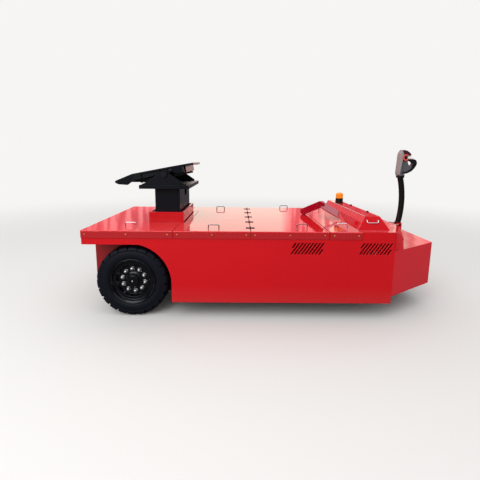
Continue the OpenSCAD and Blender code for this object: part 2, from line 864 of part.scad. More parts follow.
module coupling_plate() {
    lug_y = bracket_y - bracket_t / 2 - 6;
    under = plate_top - plate_t;
    color("#14181e") tilted() difference() {
        union() {
            intersection() {
                rotate([90, 0, 0]) linear_extrude(2 * plate_hw + 20, center = true) plate_profile();
                translate([0, 0, -50]) linear_extrude(plate_top + 60) plate_outline();
            }
            both_sides() intersection() {
                rotate([90, 0, 0]) linear_extrude(2 * plate_hw + 20, center = true) hanging_profile(SKIRT_EDGE);
                translate([0, 0, -50]) linear_extrude(plate_top + 60) skirt_plan();
            }
            both_sides() intersection() {
                rotate([90, 0, 0]) linear_extrude(2 * plate_hw + 20, center = true) hanging_profile(RIB_EDGE);
                translate([0, 0, -50]) linear_extrude(plate_top + 60) rib_plan();
            }
            // Cross rib and pivot lugs under the plate
            span([rib_x - 2, -300, -20], [rib_x + rib_t, 300, under + 2]);
            both_sides() translate([0, lug_y, under + 2]) rotate([90, 0, 0]) linear_extrude(60)
                boss_outline(-70, 70, 8, -under - 2, pivot_r + 18, pivot_r + fit);
        }
        translate([release_x, -200, release_z]) rotate([90, 0, 0]) cylinder(h = plate_hw - 190, r = 11);
        both_sides() translate([0, plate_hw + 10, 0]) rotate([90, 0, 0]) cylinder(h = 120, r = pivot_r + fit);
    }
}

module coupling_jaws() {
    color("#3b3f46") tilted() difference() {
        span([-70, -120, -10], [90, 120, plate_top - plate_t - 0.3]);
        translate([0, 0, -20]) cylinder(h = 200, r = kingpin_r);
        span([-80, -10, -20], [0, 10, 200]);
    }
}

module release_handle() {
    reach = plate_hw + 70;
    color("#2a2d33") tilted() {
        translate([release_x, -120, release_z]) rotate([90, 0, 0]) cylinder(h = reach - 120, r = 9);
        translate([release_x, -reach + 16, release_z]) rotate([90, 0, 0])
            rotate_extrude() polygon([[0, -16], [10, -16], [16, -9], [17, 0], [16, 9], [10, 16], [0, 16]]);
    }
}

// Steering unit in the nose

module slewing_ring() {
    color("#77797d") translate([steer_x, 0, head_plate_z - ring_h]) difference() {
        cylinder(h = ring_h, r = ring_r);
        translate([0, 0, -1]) cylinder(h = ring_h + 2, r = spigot_r + fit);
    }
}

module steering_fork() {
    half = front_gap / 2 + front_w;
    color("#2c2d30") {
        translate([steer_x, 0, 0]) {
            translate([0, 0, fork_z]) cylinder(h = head_plate_z - ring_h - fork_z - 0.3, r = fork_r);
            translate([0, 0, fork_z]) cylinder(h = nose_z + 6 - fork_z, r = spigot_r);
            // Post between the two wheels, carrying the stub axle
            span([-45, -12, front_r - 30], [45, 12, fork_z + 1]);
            translate([0, half + 6, front_r]) rotate([90, 0, 0]) cylinder(h = 2 * half + 12, r = stub_r);
        }
    }
}

module steering_pedestal() {
    color("#c4182a") {
        translate([steer_x, 0, nose_z + 6]) cylinder(h = 24, r = disc_r);
        hull() {
            translate([steer_x, 0, nose_z + 28]) cylinder(h = 2, r = 70, $fn = 32);
            span([steer_x - 20, -40, tiller_z - 40], [tiller_x - 10, 40, tiller_z - 38]);
        }
        both_sides() difference() {
            span([tiller_x - 34, 32, tiller_z - 45], [tiller_x + 24, 42, tiller_z + 26]);
            translate([tiller_x, 50, tiller_z]) rotate([90, 0, 0]) cylinder(h = 30, r = 12 + fit);
        }
        span([tiller_x - 34, -42, tiller_z - 60], [tiller_x + 24, 42, tiller_z - 38]);
    }
}

module front_wheel_ring(r_out, r_in) {
    for (s = [-1, 1]) translate([steer_x, s * (front_gap + front_w) / 2, front_r]) rotate([90, 0, 0])
        difference() {
            cylinder(h = front_w, r = r_out, center = true);
            cylinder(h = front_w + 2, r = r_in, center = true);
        }
}

module front_tyres() {
    color("#1b1b1c") front_wheel_ring(front_r, front_r - 45);
}

module front_hubs() {
    color("#8a8d92") front_wheel_ring(front_r - 45, stub_r + fit);
}

// Tiller

module tiller_arm() {
    z0 = tiller_z + 20;
    rise = arm_top_z - collar_h / 2 - z0;
    half_a = asin(norm([rise, arm_lean]) / 2 / arm_bend);
    color("#141416") {
        translate([tiller_x - 5, 0, z0]) rotate([0, -atan(arm_lean / rise), 0])
            translate([-arm_bend * cos(half_a), 0, arm_bend * sin(half_a)])
                rotate([90, 0, 0]) rotate([0, 0, -half_a])
                    rotate_extrude(angle = 2 * half_a, $fn = 480)
                        translate([arm_bend, 0]) circle(r = arm_r, $fn = 60);
        translate([tiller_x - 5 - arm_lean, 0, arm_top_z - collar_h]) cylinder(h = collar_h, r = 44);
        // Foot between the pedestal's ears, on its pin
        span([tiller_x - 26, -26, tiller_z - 22], [tiller_x + 20, 26, tiller_z + 40]);
        translate([tiller_x, 46, tiller_z]) rotate([90, 0, 0]) cylinder(h = 92, r = 12);
    }
}

// Side profile of one head piece, given from the arm's top, extruded across the machine
module head_slice(points, wide) {
    translate([tiller_x, wide / 2, arm_top_z]) rotate([90, 0, 0]) linear_extrude(wide) polygon(points);
}

module tiller_head() {
    color("#6d6f72") {
        // Casing over the arm's end, then the web that runs forward to the guard
        head_slice([[-80, 0], [-37, 0], [-37, 176], [-30, 196], [24, 196], [24, 238], [9, 243], [-31, 257],
                    [-56, 283], [-80, 264], [-92, 219], [-94, 160], [-101, 107], [-107, 47], [-101, 16]], 100);
        head_slice([[-40, 44], [14, 46], [45, 55], [87, 93], [88, 114],
                    [50, 130], [36, 168], [34, 176], [-40, 176]], 56);
        // Neck standing on the arm's collar
        head_slice([[-40, 0], [14, 0], [14, 22], [-40, 22]], 60);
    }
}

module tiller_hood() {
    color("#4a1622") head_slice([[-31, 257], [9, 243], [59, 228], [61, 247], [44, 265], [12, 287], [-26, 296],
                                 [-56, 283]], 104);
}

module tiller_loop() {
    color("#161618") head_slice([[-37, 22], [14, 24], [47, 32], [91, 55], [119, 86], [142, 124], [147, 154],
        [132, 184], [101, 195], [24, 196], [-30, 196], [-37, 176], [34, 176], [36, 168], [80, 168],
        [98, 150], [88, 114], [87, 93], [45, 55], [14, 46], [-37, 44]], 56);
}

module tiller_levers() {
    color("#d8d2c4") both_sides() translate([0, 29, 0]) {
        head_slice([[24, 217], [24, 227], [73, 223], [71, 214]], 12);
        head_slice([[24, 199], [24, 208], [98, 205], [101, 198.5]], 12);
    }
}

module tiller_button() {
    color("#d8261c") both_sides() translate([tiller_x - 13, 50, arm_top_z + 209]) rotate([-90, 0, 0]) {
        difference() {
            cylinder(h = 7, r = 33);
            translate([0, 0, 3]) cylinder(h = 5, r = 24);
        }
        cylinder(h = 10, r = 16);
    }
}

// Rear wheels, modelled for the far side and mirrored

module axle_place() {
    translate([wheel_x, wheel_y, tyre_r]) rotate([-90, 0, 0]) children();
}

// A tyre as rings of points: each lug has four columns, and each column runs round the whole section
function tyre_loop() = concat(TYRE_SECTION,
    [for (k = [len(TYRE_SECTION) - 1:-1:0]) let (row = TYRE_SECTION[k]) [row[0], -row[1], row[2], -row[3]]]);

function tyre_points() = [for (i = [0:lug_count - 1], c = [0:3], row = tyre_loop())
    let (a = lug_turn + i * lug_pitch + LUG_COLUMNS[c], r = c < 2 ? row[2] : row[0])
    [r * cos(a), r * sin(a), c < 2 ? row[3] : row[1]]];

module rear_tyre() {
    rows = 2 * len(TYRE_SECTION);
    columns = 4 * lug_count;
    color("#161616") axle_place() polyhedron(points = tyre_points(), faces = [
        for (c = [0:columns - 1], k = [0:rows - 1], upper = [false, true])
            let (p = c * rows, q = (c + 1) % columns * rows, n = (k + 1) % rows)
            upper ? [p + k, q + n, p + n] : [p + k, q + k, q + n]
    ], convexity = 6);
}

module rear_rim() {
    color("#111113") axle_place() difference() {
        rotate_extrude() polygon([
            [cap_r + 3, disc_z], [160, disc_z], [167, disc_z + 6], [190, disc_z + 16], [195, disc_z + 36],
            [216, disc_z + 44], [222, disc_z + 68], [rim_r - 4, tyre_hw - 4], [rim_r, tyre_hw - 7],
            [rim_r, -tyre_hw + 12], [212, -tyre_hw + 12], [196, -tyre_hw + 30], [188, disc_z - 4],
            [160, disc_z - disc_t], [cap_r + 3, disc_z - disc_t],
        ]);
        for (i = [0:nut_count - 1]) rotate([0, 0, i * 360 / nut_count + nut_turn])
            translate([nut_pcr, 0, disc_z - disc_t - 1]) cylinder(h = disc_t + 2, r = 11);
    }
}

module rear_hub() {
    inner_face = box_hw + 6 - wheel_y;
    back_z = disc_z - disc_t;
    color("#9aa0a6") axle_place() {
        difference() {
            union() {
                translate([0, 0, inner_face]) cylinder(h = back_z - inner_face, r = 135);
                translate([0, 0, back_z]) cylinder(h = disc_t + 26, r = cap_r);
                translate([0, 0, disc_z + 26]) cylinder(h = 12, r1 = cap_r, r2 = cap_r - 16);
            }
            translate([0, 0, inner_face - 1]) cylinder(h = 60, r = axle_r + fit);
        }
        for (i = [0:nut_count - 1]) rotate([0, 0, i * 360 / nut_count + nut_turn])
            translate([nut_pcr, 0, back_z - 1]) {
            cylinder(h = disc_t + 2, r = 10);
            translate([0, 0, disc_t + 1]) cylinder(h = 5, r = 19);
            translate([0, 0, disc_t + 1]) cylinder(h = 16, r = 16, $fn = 6);
        }
    }
}

module rear_axle() {
    color("#3c3f44") translate([wheel_x, 0, tyre_r]) rotate([-90, 0, 0]) {
        tube_half = box_hw + 55;
        translate([0, 0, -tube_half]) cylinder(h = 2 * tube_half, r = axle_r);
        for (s = [-1, 1]) translate([0, 0, s * (box_hw - box_t - 6)]) cylinder(h = 12, r = 100, center = true);
        rotate_extrude() polygon([
            [0, -210], [62, -210], [80, -150], [125, -90], [125, 90], [80, 150], [62, 210], [0, 210],
        ]);
    }
    // Traction motor behind the axle's casing, lying along the machine
    color("#55595f") translate([wheel_x - 330, 0, tyre_r + 10]) rotate([0, 90, 0]) cylinder(h = 260, r = 105);
}

module rear_tyre_left() { rear_tyre(); }
module rear_rim_left() { rear_rim(); }
module rear_hub_left() { rear_hub(); }
module rear_tyre_right() { mirror([0, 1, 0]) rear_tyre(); }
module rear_rim_right() { mirror([0, 1, 0]) rear_rim(); }
module rear_hub_right() { mirror([0, 1, 0]) rear_hub(); }

chassis_frame();
belly_plate();
side_panel_right();
side_panel_left();
nose_shell();
rear_deck_plate();
front_deck_plate();
deck_handles();
control_housing();
housing_handles();
beacon_base();
beacon_lens();
column_guide();
battery_pack();
rear_axle();
slewing_ring();
cover_rear();
cover_rear_hinges();
cover_front();
cover_front_hinges();
cover_arm();
lifting_column();
coupling_base();
coupling_brackets();
coupling_pins();
coupling_plate();
coupling_jaws();
release_handle();
steering_fork();
steering_pedestal();
front_tyres();
front_hubs();
tiller_arm();
tiller_head();
tiller_hood();
tiller_loop();
tiller_levers();
tiller_button();
rear_tyre_right();
rear_rim_right();
rear_hub_right();
rear_tyre_left();
rear_rim_left();
rear_hub_left();
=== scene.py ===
import math

import bmesh
import bpy
import numpy as np
from mathutils import Matrix, Vector


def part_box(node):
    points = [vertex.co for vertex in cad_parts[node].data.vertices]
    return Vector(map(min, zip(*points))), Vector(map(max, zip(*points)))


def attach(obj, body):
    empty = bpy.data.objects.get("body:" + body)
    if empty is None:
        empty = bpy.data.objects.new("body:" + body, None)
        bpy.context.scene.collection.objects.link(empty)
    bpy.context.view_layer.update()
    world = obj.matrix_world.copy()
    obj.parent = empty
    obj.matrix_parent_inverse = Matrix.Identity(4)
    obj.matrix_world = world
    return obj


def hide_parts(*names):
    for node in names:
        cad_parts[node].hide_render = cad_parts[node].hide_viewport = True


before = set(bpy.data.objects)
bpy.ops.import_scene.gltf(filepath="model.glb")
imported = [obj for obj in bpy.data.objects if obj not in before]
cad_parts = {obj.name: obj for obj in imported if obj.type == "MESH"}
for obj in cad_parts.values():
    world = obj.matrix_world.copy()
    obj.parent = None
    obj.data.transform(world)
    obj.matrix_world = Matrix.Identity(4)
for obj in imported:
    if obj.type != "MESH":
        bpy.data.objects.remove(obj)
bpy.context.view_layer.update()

# Camera. It looks at the machine's right side from a standing person's eye height.
# The picture's middle lies below the lens axis, so the frame is shifted down a little.
PICTURE_PX = 480
FOCAL_PX = 325.5
SHIFT_PX = -27
SENSOR_MM = 36
EYE = Vector((-0.3013, -3.7827, 1.5341))
LOOK = Vector((0.00682, 0.98712, -0.15984))
SIDEWAYS = Vector((0.99994, -0.00544, 0.00906))

camera_data = bpy.data.cameras.new("camera")
camera_data.sensor_width = SENSOR_MM
camera_data.lens = FOCAL_PX / PICTURE_PX * SENSOR_MM
camera_data.shift_y = SHIFT_PX / PICTURE_PX
camera = bpy.data.objects.new("camera", camera_data)
bpy.context.scene.collection.objects.link(camera)
upward = SIDEWAYS.cross(LOOK).normalized()
sideways = LOOK.cross(upward).normalized()
turn = Matrix((sideways, upward, -LOOK)).transposed().to_4x4()
camera.matrix_world = Matrix.Translation(EYE) @ turn
bpy.context.scene.camera = camera
bpy.context.scene.view_settings.view_transform = "Standard"


# Stage. A pale matt floor that fades into a white backdrop, under one large soft lamp.
# The sky lights the machine softly in white. What paint mirrors is a painted reflection: white
# strips between duller flanks.
def linear(hex_colour):
    """sRGB hex to linear RGBA: each channel c becomes ((c + 0.055) / 1.055) ** 2.4,
    or c / 12.92 when it is dark."""
    c = np.array([int(hex_colour[i:i + 2], 16) / 255 for i in (1, 3, 5)])
    rgb = np.where(c > 0.04045, ((c + 0.055) / 1.055) ** 2.4, c / 12.92)
    return (*rgb.tolist(), 1.0)


def add(tree, kind, inputs=None, **settings):
    """Adds one node and sets its properties. Each input gets its value, or a link where that
    value is another node's output."""
    made = tree.nodes.new(kind)
    for name, value in settings.items():
        setattr(made, name, value)
    for name, value in (inputs or {}).items():
        if isinstance(value, bpy.types.NodeSocket):
            tree.links.new(value, made.inputs[name])
        else:
            made.inputs[name].default_value = value
    return made


def finish(name):
    """A new material of that name, with its emptied node tree and its Object coordinates."""
    made = bpy.data.materials.new(name)
    made.use_nodes = True
    tree = made.node_tree
    tree.nodes.clear()
    return made, tree, add(tree, "ShaderNodeTexCoord").outputs["Object"]


# A colour Mix node's sockets: the second colour's share, the two colours, and the result
SHARE, FIRST, SECOND, MIXED = 0, 6, 7, 2

# The floor fades to the backdrop's colour between two distances from the middle
FLOOR_HALF_M = 60
# Reflections see the floor in a darker grey than it is: a painted reflection of darker ground
FLOOR_COLOUR, MIRRORED_FLOOR = "#d4d3d1", "#66656a"
FADE_FROM_M, FADE_TO_M = 4.0, 11.0
BACKDROP = "#f6f5f3"
floor_data = bpy.data.meshes.new("floor")
floor_corners = FLOOR_HALF_M * np.array([[-1, -1, 0], [1, -1, 0], [1, 1, 0], [-1, 1, 0]], float)
floor_data.from_pydata(floor_corners.tolist(), [], [(0, 1, 2, 3)])
floor = bpy.data.objects.new("floor", floor_data)
bpy.context.scene.collection.objects.link(floor)
# Matt floor paint: pale and even, so that only the machine's soft shadow shows on it
floor_paint, tree, place = finish("matt_floor_paint")
ray = add(tree, "ShaderNodeLightPath")
seen = add(tree, "ShaderNodeMath", {0: ray.outputs["Is Camera Ray"],
                                    1: ray.outputs["Is Transmission Ray"]}, operation="MAXIMUM")
away = add(tree, "ShaderNodeVectorMath", {0: place}, operation="LENGTH")
fade = add(tree, "ShaderNodeMapRange", {
    "Value": away.outputs["Value"], "From Min": FADE_FROM_M, "From Max": FADE_TO_M},
    interpolation_type="SMOOTHSTEP")
fade = add(tree, "ShaderNodeMath", {0: fade.outputs[0], 1: seen.outputs[0]}, operation="MULTIPLY")
# Glossy rays get the darker grey, a painted reflection
tone = add(tree, "ShaderNodeMix", {
    SHARE: ray.outputs["Is Glossy Ray"], FIRST: linear(FLOOR_COLOUR),
    SECOND: linear(MIRRORED_FLOOR)}, data_type="RGBA")
matt = add(tree, "ShaderNodeBsdfPrincipled", {
    "Base Color": tone.outputs[MIXED], "Roughness": 0.95, "Specular IOR Level": 0.1})
white = add(tree, "ShaderNodeEmission", {"Color": linear(BACKDROP), "Strength": 1.0})
both = add(tree, "ShaderNodeMixShader", {
    0: fade.outputs[0], 1: matt.outputs[0], 2: white.outputs[0]})
add(tree, "ShaderNodeOutputMaterial", {"Surface": both.outputs[0]})
floor_data.materials.append(floor_paint)

# The sky's light grows from the horizon to overhead
LIGHT_LOW, LIGHT_HIGH = 0.5, 1.35
# What paint mirrors is as bright as the sky outdoors, against the lamp's plain light
MIRROR_STRENGTH = 1.9
# Its colours round the horizon, by the direction's x from -1 to 1, written as 0 to 1
# Glossy rays alone see these colours: they are a painted reflection, and light nothing
STRIP, FLANK, SHADE = "#e6e6d8", "#f29a9c", "#9c4044"
HORIZON = [(0.0, FLANK), (0.412, FLANK), (0.43, STRIP), (0.565, STRIP), (0.58, FLANK),
           (0.618, FLANK), (0.63, STRIP), (0.642, STRIP), (0.655, SHADE), (0.70, SHADE),
           (0.708, STRIP), (0.73, STRIP), (0.75, FLANK), (0.79, SHADE)]
# Fine upright streaks lie on the flanks, away from the clear white strip in the middle
STREAK, STREAK_SCALE, STREAK_SQUASH, STREAK_SHARE = "#b05058", 62.0, 0.12, 0.85
STREAK_FROM, STREAK_TO = 0.44, 0.56
STRIP_MIDDLE, STRIP_HALF, STRIP_EDGE = 0.4955, 0.075, 0.015
# The camera's side of the sky is dark, and overhead it is a cool white
NEAR_SIDE, NEAR_SIDE_FROM = "#454446", 0.1
OVERHEAD, OVERHEAD_FROM, OVERHEAD_TO = "#dfe6f2", 0.3, 0.5

sky = bpy.data.worlds.new("sky")
sky.use_nodes = True
sky.node_tree.nodes.clear()
tree = sky.node_tree
ray = add(tree, "ShaderNodeLightPath")
aim = add(tree, "ShaderNodeSeparateXYZ", {
    0: add(tree, "ShaderNodeTexCoord").outputs["Generated"]})
across = add(tree, "ShaderNodeMapRange", {
    "Value": aim.outputs["X"], "From Min": -1.0, "From Max": 1.0})
horizon = add(tree, "ShaderNodeValToRGB", {0: across.outputs[0]})
for index, (spot, colour) in enumerate(HORIZON):
    stops = horizon.color_ramp.elements
    stop = stops[index] if index < 2 else stops.new(spot)
    stop.position, stop.color = spot, linear(colour)
wavy = add(tree, "ShaderNodeCombineXYZ", {0: aim.outputs["X"], 2: aim.outputs["Z"]})
wavy = add(tree, "ShaderNodeMapping", {
    "Vector": wavy.outputs[0], "Scale": (1.0, 1.0, STREAK_SQUASH)})
lines = add(tree, "ShaderNodeTexNoise", {
    "Vector": wavy.outputs[0], "Scale": STREAK_SCALE, "Detail": 3.0})
lines = add(tree, "ShaderNodeMapRange", {
    "Value": lines.outputs[0], "From Min": STREAK_FROM, "From Max": STREAK_TO,
    "To Max": STREAK_SHARE})
off_strip = add(tree, "ShaderNodeMath", {0: across.outputs[0], 1: STRIP_MIDDLE},
                operation="SUBTRACT")
off_strip = add(tree, "ShaderNodeMath", {0: off_strip.outputs[0]}, operation="ABSOLUTE")
off_strip = add(tree, "ShaderNodeMapRange", {
    "Value": off_strip.outputs[0], "From Min": STRIP_HALF, "From Max": STRIP_HALF + STRIP_EDGE})
lines = add(tree, "ShaderNodeMath", {0: lines.outputs[0], 1: off_strip.outputs[0]},
            operation="MULTIPLY")
mirrored = add(tree, "ShaderNodeMix", {
    SHARE: lines.outputs[0], FIRST: horizon.outputs[0], SECOND: linear(STREAK)},
    data_type="RGBA")
near = add(tree, "ShaderNodeMapRange", {
    "Value": aim.outputs["Y"], "From Min": NEAR_SIDE_FROM, "From Max": 0.0})
mirrored = add(tree, "ShaderNodeMix", {
    SHARE: near.outputs[0], FIRST: mirrored.outputs[MIXED], SECOND: linear(NEAR_SIDE)},
    data_type="RGBA")
high = add(tree, "ShaderNodeMapRange", {
    "Value": aim.outputs["Z"], "From Min": OVERHEAD_FROM, "From Max": OVERHEAD_TO})
mirrored = add(tree, "ShaderNodeMix", {
    SHARE: high.outputs[0], FIRST: mirrored.outputs[MIXED], SECOND: linear(OVERHEAD)},
    data_type="RGBA")
strength = add(tree, "ShaderNodeMapRange", {
    "Value": aim.outputs["Z"], "To Min": LIGHT_LOW, "To Max": LIGHT_HIGH})
light = add(tree, "ShaderNodeBackground", {
    "Color": (1, 1, 1, 1), "Strength": strength.outputs[0]})
mirror = add(tree, "ShaderNodeBackground", {
    "Color": mirrored.outputs[MIXED], "Strength": MIRROR_STRENGTH})
backdrop = add(tree, "ShaderNodeBackground", {"Color": linear(BACKDROP), "Strength": 1.0})
shine = add(tree, "ShaderNodeMixShader", {
    0: ray.outputs["Is Glossy Ray"], 1: light.outputs[0], 2: mirror.outputs[0]})
seen = add(tree, "ShaderNodeMath", {0: ray.outputs["Is Camera Ray"],
                                    1: ray.outputs["Is Transmission Ray"]}, operation="MAXIMUM")
both = add(tree, "ShaderNodeMixShader", {
    0: seen.outputs[0], 1: shine.outputs[0], 2: backdrop.outputs[0]})
add(tree, "ShaderNodeOutputWorld", {"Surface": both.outputs[0]})
bpy.context.scene.world = sky

# One large soft lamp, high up at the left of the camera
KEY_PLACE, KEY_AIM, KEY_SIZE_M, KEY_WATTS = (-3.4, -5.6, 4.4), (0, 0, 0.4), 5.0, 270
key_data = bpy.data.lights.new("key_lamp", "AREA")
key_data.size = KEY_SIZE_M
key_data.energy = KEY_WATTS
key = bpy.data.objects.new("key_lamp", key_data)
key.location = KEY_PLACE
key.rotation_euler = (Vector(KEY_AIM) - Vector(KEY_PLACE)).to_track_quat("-Z", "Y").to_euler()
bpy.context.scene.collection.objects.link(key)


# Side panels and chassis. 4 mm steel sheet, cut with its wheel arches and slanted vents and
# welded to the chassis frame. Both are sprayed red, the panels glossier than the frame.
def per_metre(size_mm):
    """A pattern's scale in 1/m, for features of that size in mm."""
    return 1000 / size_mm


# Real orange peel is 1 to 3 mm wide, too fine to show, so it is drawn at 7 mm
PATCH_MM, PEEL_MM, BUCKLE_MM, SPECK_MM = 600, 7, 280, 18
PEEL_DEEP_M, BUCKLE_DEEP_M, EDGE_M = 0.001, 0.05, 0.003
# Dust is full up to one height above the floor and ends at another
DUST, DUST_FULL_M, DUST_END_M = "#8f7c74", 0.17, 0.34


def paint(tree, place, colour, shade, rough=0.15, gloss=0.4, wave=0.02, dust=0.0):
    """Sprayed paint: the colour drifts to shade in wide patches, dust gathers low down, and the
    bump adds orange peel and the sheet's slow waves. Sharp edges shade as if rounded a little."""
    drift = add(tree, "ShaderNodeTexNoise", {
        "Vector": place, "Scale": per_metre(PATCH_MM), "Detail": 2.0})
    tone = add(tree, "ShaderNodeMix", {
        SHARE: drift.outputs[0], FIRST: linear(colour), SECOND: linear(shade)}, data_type="RGBA")
    if dust:
        height = add(tree, "ShaderNodeSeparateXYZ", {0: place})
        low = add(tree, "ShaderNodeMapRange", {
            "Value": height.outputs["Z"], "From Min": DUST_FULL_M, "From Max": DUST_END_M,
            "To Min": dust, "To Max": 0.0})
        specks = add(tree, "ShaderNodeTexNoise", {
            "Vector": place, "Scale": per_metre(SPECK_MM), "Detail": 4.0})
        amount = add(tree, "ShaderNodeMath", {0: low.outputs[0], 1: specks.outputs[0]},
                     operation="MULTIPLY")
        tone = add(tree, "ShaderNodeMix", {
            SHARE: amount.outputs[0], FIRST: tone.outputs[MIXED], SECOND: linear(DUST)},
            data_type="RGBA")
    peel = add(tree, "ShaderNodeTexNoise", {
        "Vector": place, "Scale": per_metre(PEEL_MM), "Detail": 1.0})
    waves = add(tree, "ShaderNodeTexNoise", {
        "Vector": place, "Scale": per_metre(BUCKLE_MM), "Detail": 1.0})
    rounded_edge = add(tree, "ShaderNodeBevel", {"Radius": EDGE_M}, samples=4)
    fine = add(tree, "ShaderNodeBump", {
        "Strength": 0.04, "Distance": PEEL_DEEP_M, "Height": peel.outputs[0],
        "Normal": rounded_edge.outputs[0]})
    slow = add(tree, "ShaderNodeBump", {
        "Strength": wave, "Distance": BUCKLE_DEEP_M, "Height": waves.outputs[0],
        "Normal": fine.outputs[0]})
    return add(tree, "ShaderNodeBsdfPrincipled", {
        "Base Color": tone.outputs[MIXED], "Roughness": rough, "Specular IOR Level": gloss,
        "Normal": slow.outputs[0]})


def enamel(name, colour, shade, **settings):
    """A material of one coat of paint."""
    made, tree, place = finish(name)
    surface = paint(tree, place, colour, shade, **settings)
    add(tree, "ShaderNodeOutputMaterial", {"Surface": surface.outputs[0]})
    return made


def dress(material, *nodes):
    """Gives CAD nodes a finish in place of the plain colour that they come with."""
    for name in nodes:
        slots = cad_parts[name].data.materials
        slots.clear()
        slots.append(material)


# Gloss enamel, sprayed on flat sheet: a clean deep red with soft reflections and a dusty foot
body_enamel = enamel("gloss_enamel_body_red", "#bf0611", "#b6050f", dust=0.12)
dress(body_enamel, "side_panel_right", "side_panel_left")
# Satin enamel, sprayed thinly inside the arches: a duller red under road dust, darkened as
# painted shade
chassis_enamel = enamel("satin_enamel_chassis_red", "#9c0a12", "#83080e", rough=0.45, gloss=0.3,
                        dust=0.3)
dress(chassis_enamel, "chassis_frame")


# Underside. A plain belly plate, the cast drive axle, slewing ring, fork and front hubs, and
# the moulded battery block. They lie in shade and stay matt and a little dusty.
# Real cast and moulded grain is under 1 mm, so it is drawn at 2 to 4 mm to show
SOLID_PATCH_MM, GRAIN_DEEP_M = 90, 0.0006


def rough_solid(name, colour, shade, rough, metallic=0.0, grain_mm=4, bump=0.3, gloss=0.3):
    """Metal, rubber or plastic whose colour varies from colour to shade in patches, and whose
    height follows a noise of the given grain."""
    made, tree, place = finish(name)
    grain = add(tree, "ShaderNodeTexNoise", {
        "Vector": place, "Scale": per_metre(grain_mm), "Detail": 4.0})
    patch = add(tree, "ShaderNodeTexNoise", {
        "Vector": place, "Scale": per_metre(SOLID_PATCH_MM), "Detail": 3.0})
    tone = add(tree, "ShaderNodeMix", {
        SHARE: patch.outputs[0], FIRST: linear(colour), SECOND: linear(shade)}, data_type="RGBA")
    relief = add(tree, "ShaderNodeBump", {
        "Strength": bump, "Distance": GRAIN_DEEP_M, "Height": grain.outputs[0]})
    surface = add(tree, "ShaderNodeBsdfPrincipled", {
        "Base Color": tone.outputs[MIXED], "Roughness": rough, "Metallic": metallic,
        "Normal": relief.outputs[0], "Specular IOR Level": gloss})
    add(tree, "ShaderNodeOutputMaterial", {"Surface": surface.outputs[0]})
    return made


# Primer brushed on rolled plate: a dull brownish black
dress(rough_solid("primed_black_plate", "#1a1a1c", "#262524", 0.7), "belly_plate")
# Sand-cast iron under thin paint: dark grey, with a fine pitted grain
cast_iron = rough_solid("painted_cast_iron", "#303338", "#212326", 0.6, grain_mm=3, bump=0.5)
dress(cast_iron, "rear_axle", "slewing_ring", "steering_fork", "front_hubs")
# Moulded polypropylene: slate grey with an even, low sheen
battery_case = rough_solid("moulded_battery_case", "#2a2d31", "#22252a", 0.55, grain_mm=2)
dress(battery_case, "battery_pack")


# Rear wheels. Solid rubber tyres with 22 lugs, on black pressed rims held by ten nuts each.
# A tyre is moulded in one piece: a round section carried about the axle, with notches sunk
# along its normals.
def quads(rows, cols, round_rows, round_cols):
    """Corner numbers of the faces between neighbouring points of a grid. A round direction
    joins its last points to its first."""
    i, j = np.meshgrid(np.arange(rows - (not round_rows)), np.arange(cols - (not round_cols)),
                       indexing="ij")
    i2, j2 = (i + 1) % rows, (j + 1) % cols
    return np.stack([i * cols + j, i * cols + j2, i2 * cols + j2, i2 * cols + j],
                    -1).reshape(-1, 4)


MERGE_M = 2e-6


def make_piece(name, grids, material, body, replaces=(), sharp=32):
    """One object from grids of points, each an array of n x rows x cols x 3 in metres with
    whether its rows and its cols are round. Doubles merge so that poles close, faces turn
    outwards, and edges that bend by more than sharp degrees stay crisp."""
    points, faces, start = [], [], 0
    for grid, round_rows, round_cols in grids:
        grid = grid.reshape(-1, *grid.shape[-3:])
        count, rows, cols = grid.shape[:3]
        corners = quads(rows, cols, round_rows, round_cols)
        offsets = start + rows * cols * np.arange(count)
        faces.append((corners[None] + offsets[:, None, None]).reshape(-1, 4))
        points.append(grid.reshape(-1, 3))
        start += count * rows * cols
    data = bpy.data.meshes.new(name)
    data.from_pydata(np.concatenate(points).tolist(), [], np.concatenate(faces).tolist())
    shape = bmesh.new()
    shape.from_mesh(data)
    bmesh.ops.remove_doubles(shape, verts=shape.verts, dist=MERGE_M)
    bmesh.ops.dissolve_degenerate(shape, edges=shape.edges, dist=MERGE_M)
    bmesh.ops.recalc_face_normals(shape, faces=shape.faces)
    shape.to_mesh(data)
    shape.free()
    data.shade_smooth()
    data.set_sharp_from_angle(angle=math.radians(sharp))
    data.materials.append(material)
    made = bpy.data.objects.new(name, data)
    bpy.context.scene.collection.objects.link(made)
    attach(made, body)
    if replaces:
        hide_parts(*replaces)


def turned(profile, steps):
    """Carries a profile of (radius, height) rows round the z axis: x = r cos t, y = r sin t,
    z = height."""
    t = np.linspace(0, 2 * np.pi, steps, endpoint=False)
    r, h = np.asarray(profile, float).T
    return np.stack([np.outer(np.cos(t), r), np.outer(np.sin(t), r),
                     np.broadcast_to(h, (steps, len(h)))], -1)


def rounded(corners, radius, steps=4):
    """A line of 2-D or 3-D corners, its inner corners replaced by arcs of about that radius.
    An arc is (1 - s)^2 start + 2 s (1 - s) corner + s^2 end, and takes under half of a side."""
    corners = np.asarray(corners, float)
    line = [corners[0]]
    for before, corner, after in zip(corners, corners[1:], corners[2:]):
        a, b = before - corner, after - corner
        la, lb = np.linalg.norm(a), np.linalg.norm(b)
        half = np.arccos(np.clip(a @ b / (la * lb), -1, 1)) / 2
        reach = min(radius / np.tan(half), 0.45 * la, 0.45 * lb)
        start, end = corner + a / la * reach, corner + b / lb * reach
        s = np.linspace(0, 1, steps + 1)[:, None]
        line.extend((1 - s) ** 2 * start + 2 * s * (1 - s) * corner + s ** 2 * end)
    line.append(corners[-1])
    return np.array(line)


def ramp(x, low, high):
    """0 below low, 1 above high, and a smooth 3 s squared - 2 s cubed between."""
    s = np.clip((x - low) / (high - low), 0, 1)
    return s * s * (3 - 2 * s)


wheel_low, wheel_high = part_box("rear_tyre_right")
wheel_centre = (wheel_low + wheel_high) / 2


